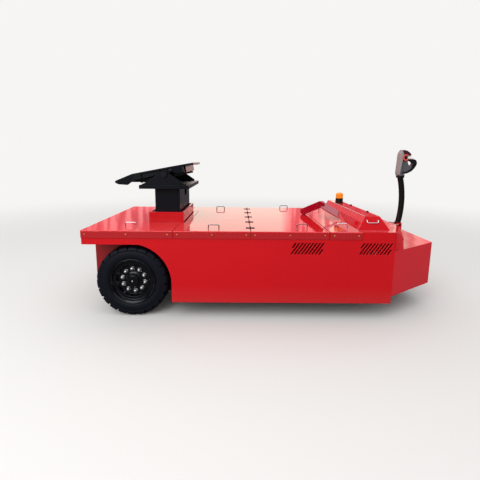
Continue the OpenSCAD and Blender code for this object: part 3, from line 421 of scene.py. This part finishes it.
def wheel_place(grid_mm, side):
    """Takes a grid about the z axis, outer face up, to the wheel on side -1 (right) or
    1 (left): (x, side z, -y), each from the wheel's centre."""
    x, y, z = np.moveaxis(grid_mm / 1000, -1, 0)
    return np.stack([wheel_centre.x + x, side * (abs(wheel_centre.y) + z),
                     wheel_centre.z - y], -1)


TYRE_R, BEAD_R, LUGS = 355, 229, 22
# Half the tyre's section as (radius, height) in mm, from the bead's inner edge to the tread
HALF_SECTION = [(BEAD_R, 86), (BEAD_R, 96), (240, 101), (250, 104.5), (270, 106.5), (288, 104.5),
                (298, 102), (303, 99.5), (308, 101.5), (326, 100), (338, 93), (346, 84),
                (351, 72), (353.5, 52), (355, 24)]
SECTION_ROUND = 14
# A notch's width, depth and sloping edge, its turn on the wheel, how far it passes the tread's
# middle, and the radii on the side wall where it starts and is at full depth
NOTCH_W, NOTCH_DEEP, NOTCH_EDGE, NOTCH_PHASE = 20, 13, 2.5, math.radians(3.4)
NOTCH_PAST, NOTCH_FOOT_R, NOTCH_FULL_R = 12, 308, 318


def rear_tyre(side):
    """A closed section of (radius, height) is turned about the axle. In a notch each point
    moves inwards by section normal x depth. The notches of the two halves lie half a pitch
    apart."""
    half = rounded(HALF_SECTION, SECTION_ROUND, 3)
    section = np.concatenate([half, half[::-1] * [1, -1]])
    step = np.diff(section, axis=0, prepend=section[:1] - [0, -1])
    normal = np.stack([step[:, 1], -step[:, 0]], -1)
    normal = normal / np.linalg.norm(normal, axis=1)[:, None]
    pitch = 2 * np.pi / LUGS
    wall = NOTCH_W / 2 / TYRE_R
    edge = NOTCH_EDGE / TYRE_R
    near = np.array([-wall - edge, -wall, -wall + edge, 0, wall - edge, wall, wall + edge])
    marks = np.concatenate([near, near + pitch / 2, [pitch * 0.25, pitch * 0.75]])
    t = np.sort((marks[None] + pitch * np.arange(LUGS)[:, None]).ravel()) + NOTCH_PHASE

    def notch(shift):
        """1 in a notch and 0 on a lug, by the angle to the nearest notch's middle."""
        off = np.abs((t - NOTCH_PHASE - shift + pitch / 2) % pitch - pitch / 2)
        return 1 - ramp(off, wall - edge, wall)

    r, h = section.T
    outer = ramp(h, -NOTCH_PAST, 0) * ramp(r, NOTCH_FOOT_R, NOTCH_FULL_R)
    inner = ramp(-h, -NOTCH_PAST, 0) * ramp(r, NOTCH_FOOT_R, NOTCH_FULL_R)
    depth = NOTCH_DEEP * np.maximum(np.outer(notch(0), outer), np.outer(notch(pitch / 2), inner))
    r_all = r[None] + normal[None, :, 0] * depth
    h_all = h[None] + normal[None, :, 1] * depth
    grid = np.stack([r_all * np.cos(t)[:, None], r_all * np.sin(t)[:, None], h_all], -1)
    return wheel_place(grid, side)


def hexagons(rows, half_width, spots_mm, steps=36):
    """Hexagonal heads at the spots. Rows hold (share, roundness, height): the radius is
    share x half width, times 1 / cos(angle to the nearest flat's middle) where roundness is 0,
    and times 1 where it is 1."""
    share, roundness, height = np.asarray(rows, float).T
    t = np.linspace(0, 2 * np.pi, steps, endpoint=False)[:, None]
    corner = 1 / np.cos((t + np.pi / 6) % (np.pi / 3) - np.pi / 6)
    radius = half_width * share * (roundness + (1 - roundness) * corner)
    one = np.stack([radius * np.cos(t), radius * np.sin(t),
                    np.broadcast_to(height, radius.shape)], -1)
    return one[None] + np.asarray(spots_mm, float)[:, None, None]


# Profiles as (radius, height) in mm, with z along the axle from the wheel's middle outwards
RIM_PROFILE = rounded([
    (70, 32), (150, 32), (160, 46), (166, 66), (172, 67), (192, 67), (196, 71), (203, 92),
    (214, 96), (219, 103), (225, 105), (229, 102), (229, 90), (214, 84), (208, 60), (208, -60),
    (214, -84), (229, -90), (229, -103), (219, -103), (200, -70), (190, 20), (150, 20), (70, 20),
    (70, 32)], 3, 3)
CAP_PROFILE = rounded([(0, 92), (10, 92), (12, 90), (44, 90), (58, 86), (66, 74), (67, 40),
                       (80, 34), (84, 31), (84, 20)], 4, 3)
CAP_BOLT = [(0, 95), (5, 94.4), (7.5, 92), (7.5, 89), (0, 89)]
# A domed wheel nut on its washer, as (share, roundness, height)
NUT_ROWS = [(1.32, 1, 31), (1.32, 1, 35), (1.12, 1, 38.5), (1, 0, 37), (1, 0, 48),
            (0.94, 0.5, 50.5), (0.8, 1, 56), (0.5, 1, 60), (0, 1, 61.5)]
NUT_R, NUT_CIRCLE_R, NUTS, NUT_PHASE = 17, 114, 10, math.radians(12)
nut_turns = NUT_PHASE + 2 * np.pi * np.arange(NUTS) / NUTS
nut_spots = NUT_CIRCLE_R * np.stack([np.cos(nut_turns), np.sin(nut_turns), 0 * nut_turns], -1)

# Moulded rubber: near black with a cold tinge, and too dull to mirror anything
rubber = rough_solid("moulded_tyre_rubber", "#0b0d18", "#090a13", 0.55, gloss=0.16)
# Enamel on pressed steel: plain black, with a clear highlight on each bend
rim_enamel = enamel("black_rim_enamel", "#050507", "#07070a", rough=0.16, gloss=0.3, wave=0.0)
# Zinc plating: bright pale metal with a soft, slightly cloudy shine
zinc = rough_solid("zinc_plated_steel", "#dcdbd8", "#c4c4c3", 0.38, metallic=1.0, bump=0.1)
for side, word in ((-1, "right"), (1, "left")):
    body = "rear_wheel_" + word
    rim = wheel_place(turned(RIM_PROFILE, 96), side)
    cap = wheel_place(turned(CAP_PROFILE, 64), side)
    nuts = wheel_place(hexagons(NUT_ROWS, NUT_R, nut_spots), side)
    bolt = wheel_place(turned(CAP_BOLT, 24), side)
    make_piece("tyre_rear_" + word, [(rear_tyre(side), True, True)], rubber, body,
               ["rear_tyre_" + word])
    make_piece("rim_rear_" + word, [(rim, True, False)], rim_enamel, body,
               ["rear_rim_" + word])
    make_piece("hub_cap_" + word, [(cap, True, False)], rim_enamel, body)
    make_piece("wheel_nuts_" + word, [(nuts, True, False), (bolt, True, False)], zinc, body)
dress(cast_iron, "rear_hub_right", "rear_hub_left")


# Deck plates and covers. Folded 5 mm sheet, enamelled and polished flat on top, so that at a
# low angle it mirrors the sky. Wire handles are welded on, and button-head screws hold the
# folded strips to the sides and rear.
DECK_Z_M = 0.875
FOLD_FROM_M, FOLD_TO_M = DECK_Z_M - 0.009, DECK_Z_M - 0.007
WIRE_FROM_M, WIRE_TO_M = DECK_Z_M + 0.0003, DECK_Z_M + 0.0008
STRIP_ROUGH, TOP_ROUGH = 0.3, 0.06


def deck_finish(name, wire):
    """By height: duller enamel on the strips, darkened as painted shade, polished enamel on the
    fold and top, and bare metal of the wire's colour on the handles."""
    made, tree, place = finish(name)
    surface = paint(tree, place, "#cf1b20", "#c4171c", rough=TOP_ROUGH, gloss=0.5)
    top = surface.inputs["Base Color"].links[0].from_socket
    height = add(tree, "ShaderNodeSeparateXYZ", {0: place}).outputs["Z"]
    fold = {"Value": height, "From Min": FOLD_FROM_M, "From Max": FOLD_TO_M}
    on_top = add(tree, "ShaderNodeMapRange", fold)
    on_wire = add(tree, "ShaderNodeMapRange", {
        "Value": height, "From Min": WIRE_FROM_M, "From Max": WIRE_TO_M})
    # The strips' darker red is painted shade
    tone = add(tree, "ShaderNodeMix", {
        SHARE: on_top.outputs[0], FIRST: linear("#a50711"), SECOND: top}, data_type="RGBA")
    tone = add(tree, "ShaderNodeMix", {
        SHARE: on_wire.outputs[0], FIRST: tone.outputs[MIXED], SECOND: linear(wire)},
        data_type="RGBA")
    rough = add(tree, "ShaderNodeMapRange", {**fold, "To Min": STRIP_ROUGH, "To Max": TOP_ROUGH})
    tree.links.new(tone.outputs[MIXED], surface.inputs["Base Color"])
    tree.links.new(rough.outputs[0], surface.inputs["Roughness"])
    tree.links.new(on_wire.outputs[0], surface.inputs["Metallic"])
    add(tree, "ShaderNodeOutputMaterial", {"Surface": surface.outputs[0]})
    return made


# Polished enamel: a wet-looking red that carries clear streaks of light, with steel handles
deck_enamel = deck_finish("polished_enamel_deck_red", "#8d8784")
dress(deck_enamel, "rear_deck_plate", "front_deck_plate", "cover_rear", "cover_front")


def heads(profile, spots_mm, out=(0, 0, 1), steps=16):
    """Turned heads at the spots, in metres: spot + x u + y v + z out, with u and v square to
    the outward direction."""
    x, y, z = np.moveaxis(turned(profile, steps)[..., None], -2, 0)
    out = np.asarray(out, float)
    u = np.roll(np.abs(out), 1)
    one = x * u + y * np.cross(out, u) + z * out
    return (one + np.asarray(spots_mm, float)[:, None, None]) / 1000


BUTTON_HEAD = [(0, 2.6), (3, 2.4), (5.6, 1.5), (7, 0), (7, -1), (0, -1)]
SIDE_Y, REAR_X, SCREW_Z = 800, -1774, 838
SIDE_SCREWS_X = {"chassis": [-1738, -1352, -963, 613, 843], "rear_cover": [-872, -544, -220],
                 "front_cover": [-135, 193, 524]}
REAR_SCREWS_Y = (-640, -213, 213, 640)
# Yellow zinc: small warm points of gold on the red
brass = rough_solid("yellow_zinc_screws", "#d8b070", "#c49a58", 0.3, metallic=1.0, bump=0.05)
for body, places in SIDE_SCREWS_X.items():
    rows = [(heads(BUTTON_HEAD, [(x, side * SIDE_Y, SCREW_Z) for x in places], (0, side, 0)),
             True, False) for side in (-1, 1)]
    if body == "chassis":
        spots = [(REAR_X, y, SCREW_Z) for y in REAR_SCREWS_Y]
        rows.append((heads(BUTTON_HEAD, spots, (-1, 0, 0)), True, False))
    make_piece("strip_screws_" + body, rows, brass, body)

# Wire handles and hinges. The handles are bent from chromed wire. Five black butterfly hinges
# join the two covers, each leaf held by countersunk screws.
SCREW_HEAD = [(0, 0.9), (3.6, 0.8), (4.6, 0), (4.6, -1), (0, -1)]
HINGE_X, HINGE_PITCH, HINGE_TOP = -177, 318, 878
# Five hinges, counted from the middle one
HINGE_ROW = range(-2, 3)
LEAF_SCREWS_X, LEAF_SCREW_Y = (18, 34), 15
# Polished chrome: a thin bright line with dark and light bands along the wire
bright_wire = rough_solid("polished_chrome_wire", "#d8d6d4", "#c2c0be", 0.12, metallic=1.0,
                          bump=0.02)
# Black zinc: flat black with a faint metallic edge
black_zinc = rough_solid("black_zinc_hinges", "#0b0b0d", "#070708", 0.45, gloss=0.2)
dress(bright_wire, "deck_handles")
dress(black_zinc, "cover_rear_hinges", "cover_front_hinges")
for body, way in (("rear_cover", -1), ("front_cover", 1)):
    spots = [(HINGE_X + way * x, i * HINGE_PITCH + side * LEAF_SCREW_Y, HINGE_TOP)
             for i in HINGE_ROW for side in (-1, 1) for x in LEAF_SCREWS_X]
    make_piece("hinge_screws_" + body, [(heads(SCREW_HEAD, spots, steps=12), True, False)],
               black_zinc, body)

# Nose, control housing, column guide and pedestal. Welded from the same sheet as the body, and
# sprayed with it. Welding has buckled the nose's wide faces, so what they mirror bends.

# Gloss enamel on buckled sheet: a brighter red with bent, hard-edged reflections
welded_enamel = enamel("gloss_enamel_welded_red", "#cf0f1c", "#c40b17", rough=0.1, gloss=0.85,
                       wave=0.07)
dress(welded_enamel, "nose_shell", "control_housing")
dress(body_enamel, "column_guide", "steering_pedestal")


# Nose gussets. Small triangles of 3 mm sheet, welded in to close the corner between each side
# panel's front edge and the nose.
def capped(outline, rows):
    """A plate from a closed outline: each row of (share, height) is the outline drawn in to
    middle + share x (outline - middle), at that height."""
    middle = outline.mean(0)
    return np.stack([np.column_stack([middle + share * (outline - middle),
                                      np.full(len(outline), up)]) for share, up in rows], 1)


GUSSET_X, GUSSET_THICK = 1192.5, 3
# The triangle's corners as (y, z)
GUSSET = np.array([(795.8, 871), (795.8, 690), (742, 690)])
y, z, x = np.moveaxis(
    capped(GUSSET, [(0, 0), (1, 0), (1, GUSSET_THICK), (0, GUSSET_THICK)]), -1, 0)
gussets = np.stack([np.stack([GUSSET_X + x, side * y, z], -1) for side in (-1, 1)]) / 1000
make_piece("nose_gussets", [(gussets, True, False)], body_enamel, "chassis")

# Cover arm. A bent steel arm that stands on the front cover: a round-ended bar on edge with a
# flat plate welded to it.

# Gloss enamel: a deeper crimson than the deck's red, the darkening being painted shade on the
# arm's faces
arm_shaded_enamel = enamel("gloss_enamel_arm_painted_shade", "#a30a22", "#8f081c")
dress(arm_shaded_enamel, "cover_arm")


# Housing handles. One chromed wire on each end of the control housing, welded to the leaning
# end face and bent down to a level grip.
def tube(path, radius, across, steps=12):
    """A circle carried along a path: p + r (n cos t + b sin t), with n square to the path and
    to the across direction, and b square to both. Each end closes in its middle."""
    along = np.gradient(path, axis=0)
    along /= np.linalg.norm(along, axis=1)[:, None]
    n = np.cross(along, across)
    n /= np.linalg.norm(n, axis=1)[:, None]
    b = np.cross(along, n)
    t = np.linspace(0, 2 * np.pi, steps, endpoint=False)
    rings = n[:, None] * np.cos(t)[:, None] + b[:, None] * np.sin(t)[:, None]
    grid = path[:, None] + np.atleast_1d(radius)[:, None, None] * rings
    ends = np.broadcast_to(path[[0, -1], None], (2, steps, 3))
    return np.concatenate([ends[:1], grid, ends[1:]])


HANDLE_X, HANDLE_HALF, HANDLE_FOOT_Z, HANDLE_GRIP_Z, WIRE_R = 1010, 54, 972, 946, 4.5
FOOT_SUNK, FOOT_OUT, GRIP_OUT, WIRE_BEND = 4, 14, 20, 12
WIRE_ACROSS = (0.0, 0.75, -0.45)
FACE_FOOT_Z, FACE_TOP_Z, FACE_LEAN = 875, 1005, 32
housing_side_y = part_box("control_housing")[1].y * 1000


def face_y(z):
    """The end face's distance from the middle plane. It leans in by FACE_LEAN from its foot to
    its top."""
    return housing_side_y - FACE_LEAN * (z - FACE_FOOT_Z) / (FACE_TOP_Z - FACE_FOOT_Z)


foot, grip = face_y(HANDLE_FOOT_Z), face_y(HANDLE_GRIP_Z) + GRIP_OUT
# The wire's weld, bend and grip, as (half the span, distance from the middle plane, height)
half_wire = [(HANDLE_HALF, foot - FOOT_SUNK, HANDLE_FOOT_Z + 1),
             (HANDLE_HALF, foot + FOOT_OUT, HANDLE_FOOT_Z - 2),
             (HANDLE_HALF, grip, HANDLE_GRIP_Z)]
wire_line = rounded(half_wire + [(-x, y, z) for x, y, z in half_wire[::-1]], WIRE_BEND, 5)
for_sides = np.array([[[1, side, 1]] for side in (-1, 1)])
wires = tube(wire_line, WIRE_R, WIRE_ACROSS)[None] * for_sides[:, None]
make_piece("end_handles", [((wires + [HANDLE_X, 0, 0]) / 1000, False, True)], bright_wire,
           "chassis", ["housing_handles"], sharp=60)

# Housing lid. A flat steel lid in the housing's top: a bright half-round bead along its rear edge
# stands in for the highlight on that folded edge, a painted highlight, and two round black
# latches hold its front edge.
LID_BACK_X, LID_FRONT_X, LID_HALF, BEAD_RADIUS = 940, 1087, 652, 4
LATCH = [(0, 13), (7, 12), (12, 8), (14, 2), (14, -2), (0, -2)]
LATCH_IN, LATCHES_Y = 12, (-376, 137)
lid_line = np.array([(LID_BACK_X, y, FACE_TOP_Z) for y in np.linspace(-LID_HALF, LID_HALF, 9)])
make_piece("lid_bead_painted_highlight", [(tube(lid_line, BEAD_RADIUS, (1.0, 0, 0)) / 1000, False, True)],
           bright_wire, "chassis", sharp=60)
latch_spots = [(LID_FRONT_X - LATCH_IN, y, FACE_TOP_Z) for y in LATCHES_Y]
make_piece("lid_latches", [(heads(LATCH, latch_spots, steps=20), True, False)], black_zinc,
           "chassis")

# Beacon. A moulded black base, screwed to the housing's top, with a lens of moulded amber
# plastic that is fluted all round.
BEACON_R, FLUTES, FLUTE_STEPS, FLUTE_DEEP = 44, 40, 6, 0.03
# The heights at which the flutes run in at the foot and out at the dome
FLUTE_FOOT, FLUTE_HEAD = (4, 10), (48, 60)
lens_low, lens_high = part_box("beacon_lens")
lens_axis = (lens_low + lens_high) / 2
lens_profile = rounded([(0, 0), (BEACON_R, 0), (BEACON_R, 50), (40, 64), (28, 73), (0, 76)], 8, 4)
lens = turned(lens_profile, FLUTES * FLUTE_STEPS)
angle = np.linspace(0, 2 * np.pi, FLUTES * FLUTE_STEPS, endpoint=False)[:, None]
# Radius x (1 - depth x (1 - |sin of half the flutes' angle|)) between those heights
height = lens[..., 2]
depth = FLUTE_DEEP * (1 - np.abs(np.sin(angle * FLUTES / 2)))
flute = 1 - depth * ramp(height, *FLUTE_FOOT) * (1 - ramp(height, *FLUTE_HEAD))
lens[..., 0] *= flute
lens[..., 1] *= flute
lens = lens / 1000 + np.array([lens_axis.x, lens_axis.y, lens_low.z])
# Amber plastic: a strong clear orange with a glassy highlight on each flute
amber = rough_solid("amber_lens", "#ff8a00", "#ffa01c", 0.15, gloss=0.5)
make_piece("beacon_lens_fluted", [(lens, True, False)], amber, "chassis",
           ["beacon_lens"])
# Moulded black plastic: black with a low, even sheen
dress(rough_solid("black_moulded_base", "#141416", "#0d0d0e", 0.4), "beacon_base")

# Lifting column and coupling. Welded from thick plate and sprayed satin blue-black. Hexagon
# bolts along its rear edge tie the base plate to the column. The tilting plate's top is
# greased, and trailers have rubbed it.

# Satin enamel on plate: blue-black with broad, soft highlights
black_enamel = enamel("satin_enamel_blue_black", "#0b0d16", "#090a10", rough=0.32, gloss=0.2,
                      wave=0.01)
dress(black_enamel, "lifting_column", "coupling_base", "coupling_brackets", "release_handle")

RUB_MM, SCUFF_MM, SCUFF_DEEP_M = 60, 14, 0.0008
# The normal's z from which a face counts as looking up, and the noise from which it is worn
FACE_UP_FROM, FACE_UP_TO = 0.85, 0.95
WORN_FROM, WORN_TO, WORN_SHARE = 0.95, 1.25, 0.8


def greased_plate(name):
    """Black paint. Where the face looks up it is rubbed to grey steel, in patches with smaller
    scuffs."""
    made, tree, place = finish(name)
    facing = add(tree, "ShaderNodeSeparateXYZ", {
        0: add(tree, "ShaderNodeNewGeometry").outputs["Normal"]})
    up = add(tree, "ShaderNodeMapRange", {
        "Value": facing.outputs["Z"], "From Min": FACE_UP_FROM, "From Max": FACE_UP_TO})
    patch = add(tree, "ShaderNodeTexNoise", {
        "Vector": place, "Scale": per_metre(RUB_MM), "Detail": 5.0, "Roughness": 0.6})
    scuff = add(tree, "ShaderNodeTexNoise", {
        "Vector": place, "Scale": per_metre(SCUFF_MM), "Detail": 3.0})
    worn = add(tree, "ShaderNodeMath", {0: patch.outputs[0], 1: scuff.outputs[0]},
               operation="ADD")
    worn = add(tree, "ShaderNodeMapRange", {
        "Value": worn.outputs[0], "From Min": WORN_FROM, "From Max": WORN_TO,
        "To Max": WORN_SHARE})
    worn = add(tree, "ShaderNodeMath", {0: worn.outputs[0], 1: up.outputs[0]},
               operation="MULTIPLY")
    tone = add(tree, "ShaderNodeMix", {
        SHARE: worn.outputs[0], FIRST: linear("#0b0d14"), SECOND: linear("#55524d")},
        data_type="RGBA")
    rough = add(tree, "ShaderNodeMapRange", {
        "Value": worn.outputs[0], "To Min": 0.3, "To Max": 0.42})
    relief = add(tree, "ShaderNodeBump", {
        "Strength": 0.15, "Distance": SCUFF_DEEP_M, "Height": scuff.outputs[0]})
    surface = add(tree, "ShaderNodeBsdfPrincipled", {
        "Base Color": tone.outputs[MIXED], "Roughness": rough.outputs[0],
        "Specular IOR Level": 0.3, "Normal": relief.outputs[0]})
    add(tree, "ShaderNodeOutputMaterial", {"Surface": surface.outputs[0]})
    return made


# Painted plate under grease: black sides, and a top with cloudy grey patches of bare steel
dress(greased_plate("rubbed_black_plate"), "coupling_plate")
dress(cast_iron, "coupling_jaws")
# Turned steel: dark bare metal with a tight highlight
turned_steel = rough_solid("turned_steel_pins", "#303238", "#26282d", 0.35, metallic=1.0,
                           bump=0.05)
dress(turned_steel, "coupling_pins")
# A bolt head on its washer, as (share, roundness, height)
BOLT_ROWS = [(1.15, 1, 0), (1.15, 1, 2), (1, 0, 2), (1, 0, 11), (0.9, 0.6, 13), (0, 1, 13)]
# Eleven bolts, counted from the middle one
BOLT_R, BOLT_PITCH, BOLT_IN, BOLT_ROW = 13, 76, 34, range(-5, 6)
base_low, base_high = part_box("coupling_base")
bolt_spots = [(base_low.x * 1000 + BOLT_IN, BOLT_PITCH * i, base_high.z * 1000)
              for i in BOLT_ROW]
# Blackened steel: a dull charcoal, a little lighter than the plate
blackened = rough_solid("blackened_bolts", "#16171c", "#0e0f12", 0.4)
make_piece("base_plate_bolts", [(hexagons(BOLT_ROWS, BOLT_R, bolt_spots) / 1000, True, False)],
           blackened, "lift")


# Tiller. A bent steel tube carries a two-part moulded head with its hood, guard loop, ring
# buttons and levers. The head's pieces have soft moulded edges, so their solids are remade in
# small cells and smoothed.
BACK_X_M, BACK_SHARE = 1.58, 0.5
SOLID_MERGE_M = 1e-5


def softened(name, nodes, cell_mm, passes, material, body):
    """Joins copies of solid nodes, remakes them in cubes of that size, and evens them out by
    averaging neighbours. Behind BACK_X_M the head is half as deep: x becomes
    BACK_X_M + BACK_SHARE (x - BACK_X_M)."""
    shape = bmesh.new()
    for node in nodes:
        shape.from_mesh(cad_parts[node].data)
    bmesh.ops.remove_doubles(shape, verts=shape.verts, dist=SOLID_MERGE_M)
    data = bpy.data.meshes.new(name)
    shape.to_mesh(data)
    shape.free()
    made = bpy.data.objects.new(name, data)
    bpy.context.scene.collection.objects.link(made)
    cells = made.modifiers.new("cells", "REMESH")
    cells.mode = "VOXEL"
    cells.voxel_size = cell_mm / 1000
    remade = bpy.data.meshes.new_from_object(
        made.evaluated_get(bpy.context.evaluated_depsgraph_get()))
    made.modifiers.clear()
    made.data = remade
    shape = bmesh.new()
    shape.from_mesh(remade)
    for _ in range(passes):
        bmesh.ops.smooth_vert(shape, verts=shape.verts, factor=0.5, use_axis_x=True,
                              use_axis_y=True, use_axis_z=True)
    bmesh.ops.recalc_face_normals(shape, faces=shape.faces)
    shape.to_mesh(remade)
    shape.free()
    places = np.empty(len(remade.vertices) * 3)
    remade.vertices.foreach_get("co", places)
    x = places[::3]
    x[x < BACK_X_M] = BACK_X_M + BACK_SHARE * (x[x < BACK_X_M] - BACK_X_M)
    remade.vertices.foreach_set("co", places)
    remade.name = name
    remade.shade_smooth()
    remade.materials.clear()
    remade.materials.append(material)
    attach(made, body)
    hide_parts(*nodes)


# Satin paint on tube: soft black with one long pale highlight
dress(enamel("satin_black_tube", "#0e0e10", "#0a0a0b", rough=0.4, gloss=0.2), "tiller_arm")

# The two shells meet on a leaning line: x = SPLIT_X_M + SPLIT_LEAN (z - SPLIT_Z_M).
# Their moulded grain is under 0.5 mm in life, and is drawn at 2 mm so that it shows.
SPLIT_X_M, SPLIT_Z_M, SPLIT_LEAN, SPLIT_HALF_M = 1.545, 1.39, 0.13, 0.002
CASING_GRAIN_MM, CASING_DEEP_M = 2, 0.0005


def two_part_casing(name):
    """Grained plastic, light behind the leaning line and dark in front of it, by the sign of
    x - SPLIT_LEAN z against the line's own value."""
    made, tree, place = finish(name)
    grain = add(tree, "ShaderNodeTexNoise", {
        "Vector": place, "Scale": per_metre(CASING_GRAIN_MM), "Detail": 3.0})
    spot = add(tree, "ShaderNodeSeparateXYZ", {0: place})
    slant = add(tree, "ShaderNodeMath", {
        0: spot.outputs["Z"], 1: -SPLIT_LEAN, 2: spot.outputs["X"]}, operation="MULTIPLY_ADD")
    split = SPLIT_X_M - SPLIT_LEAN * SPLIT_Z_M
    front = add(tree, "ShaderNodeMapRange", {
        "Value": slant.outputs[0], "From Min": split - SPLIT_HALF_M,
        "From Max": split + SPLIT_HALF_M})
    tone = add(tree, "ShaderNodeMix", {
        SHARE: front.outputs[0], FIRST: linear("#8f8988"), SECOND: linear("#504f55")},
        data_type="RGBA")
    relief = add(tree, "ShaderNodeBump", {
        "Strength": 0.3, "Distance": CASING_DEEP_M, "Height": grain.outputs[0]})
    surface = add(tree, "ShaderNodeBsdfPrincipled", {
        "Base Color": tone.outputs[MIXED], "Roughness": 0.42, "Specular IOR Level": 0.35,
        "Normal": relief.outputs[0]})
    add(tree, "ShaderNodeOutputMaterial", {"Surface": surface.outputs[0]})
    return made


# Moulded ABS, finely grained: a light grey rear shell and a dark grey front one
casing = two_part_casing("moulded_grey_casing")
softened("head_casing", ["tiller_head"], 3, 6, casing, "tiller")
# Moulded plastic, smoother: a dark maroon with a soft highlight
hood = rough_solid("moulded_maroon_hood", "#4a1d2a", "#3d1722", 0.3)
softened("head_hood", ["tiller_hood"], 2.5, 4, hood, "tiller")
# Moulded plastic guard: plain black with a low sheen
guard = rough_solid("moulded_black_guard", "#0e0e10", "#0b0b0d", 0.4)
softened("head_guard", ["tiller_loop"], 3, 6, guard, "tiller")
# Moulded nylon: small pale levers, slightly waxy
dress(rough_solid("pale_nylon_levers", "#d9d2c4", "#cbc4b6", 0.4), "tiller_levers")

BUTTON_X, BUTTON_Z, BUTTON_Y = 1600, 1582, 50
# The open ring's section and the cap's profile, as (radius, height)
RING = [(21, 0), (21, 4), (23, 7.5), (29, 9), (35, 7.5), (37, 4), (37, 0)]
CAP = [(0, 9.5), (8, 9), (13, 7), (15, 3), (15, 0), (0, 0)]
RING_FROM, RING_TO, RING_STEPS = math.radians(48), math.radians(318), 41


def on_head(grid, side):
    """Takes a grid about the z axis to the head's side face: (x, side (face + z), y)."""
    x, y, z = np.moveaxis(grid, -1, 0)
    return np.stack([BUTTON_X + x, side * (BUTTON_Y + z), BUTTON_Z + y], -1) / 1000


r, h = np.array(RING, float).T
t = np.linspace(RING_FROM, RING_TO, RING_STEPS)
open_ring = np.stack([np.outer(np.cos(t), r), np.outer(np.sin(t), r),
                      np.broadcast_to(h, (len(t), len(h)))], -1)
ends = np.broadcast_to(open_ring[[0, -1]].mean(1, keepdims=True), (2, len(h), 3))
open_ring = np.concatenate([ends[:1], open_ring, ends[1:]])
both_rings = np.stack([on_head(open_ring, side) for side in (-1, 1)])
both_caps = np.stack([on_head(turned(CAP, 32), side) for side in (-1, 1)])
# Moulded red plastic: a light, slightly orange red with a crisp highlight
ring_red = rough_solid("red_button_ring", "#dd5a50", "#cf4038", 0.25, gloss=0.6)
make_piece("button_rings", [(both_rings, False, True)], ring_red, "tiller",
           ["tiller_button"])
# Moulded plastic cap in dark brown-red: painted shade that reads as the ring's hollow
cap_painted_shade = rough_solid("button_cap_painted_shade", "#3a1216", "#2c0e12", 0.35)
make_piece("button_caps", [(both_caps, True, False)], cap_painted_shade, "tiller")

# Foot plate. A dished round plate of red steel, cut square round the arm's foot and welded to the
# pedestal behind it. A bright wire along its edge stands in for the highlight on its rim, a
# painted highlight.
PLATE_X, PLATE_R, PLATE_Z, PLATE_DEEP, DISH_Z = 1525, 88, 806, 9, 5
# The disc is cut off at CUT_X, and further in, to FOOT_X, where the foot stands
CUT_X, FOOT_X, FOOT_HALF, PLATE_WIRE_R = 1568, 1556, 31, 3
open_half = math.acos((CUT_X - PLATE_X) / PLATE_R)
t = np.linspace(open_half, 2 * math.pi - open_half, 49)
rim_line = np.stack([PLATE_X + PLATE_R * np.cos(t), PLATE_R * np.sin(t)], -1)
edge = np.concatenate([rim_line, [(CUT_X, -FOOT_HALF), (FOOT_X, -FOOT_HALF),
                                  (FOOT_X, FOOT_HALF), (CUT_X, FOOT_HALF)]])
# The dish as (share, height): flat below, up over the edge, and down to its floor
dish_rows = [(0, 0), (1, 0), (1, PLATE_DEEP), (0.95, PLATE_DEEP), (0.9, DISH_Z), (0, DISH_Z)]
dish = capped(edge, dish_rows) + [0, 0, PLATE_Z]
# Gloss enamel, darker: a deep red that reads apart from the nose
plate_enamel = enamel("gloss_enamel_dark_red", "#8c0713", "#7d0611")
make_piece("foot_plate", [(dish / 1000, True, False)], plate_enamel, "steering")
rim_line = np.column_stack([rim_line, np.full(len(rim_line), PLATE_Z + PLATE_DEEP)])
# The bright wire is a painted highlight for the plate's rim
make_piece("foot_plate_rim_highlight", [(tube(rim_line, PLATE_WIRE_R, (0, 0, 1.0)) / 1000, False, True)],
           bright_wire, "steering", sharp=60)

# Front wheels. A pair of solid cushion tyres of the same rubber, pressed onto cast hubs that
# turn in the fork under the nose.
FRONT_HALF_W = 37
# The section as (radius, height), with a shallow groove round its middle
FRONT_PROFILE = rounded([
    (106, 34), (112, 36), (138, FRONT_HALF_W), (146, 32), (150, 22), (150, 3), (147, 0),
    (150, -3), (150, -22), (146, -32), (138, -FRONT_HALF_W), (112, -36), (106, -34)], 4, 3)
tyres_low, tyres_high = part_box("front_tyres")
spin = (tyres_low + tyres_high) / 2 * 1000
offset = tyres_high.y * 1000 - FRONT_HALF_W
x, y, z = np.moveaxis(turned(FRONT_PROFILE, 72), -1, 0)
pair = np.stack([np.stack([spin.x + x, side * offset + z, spin.z + y], -1)
                 for side in (-1, 1)]) / 1000
make_piece("cushion_tyres", [(pair, True, True)], rubber, "front_wheels",
           ["front_tyres"])
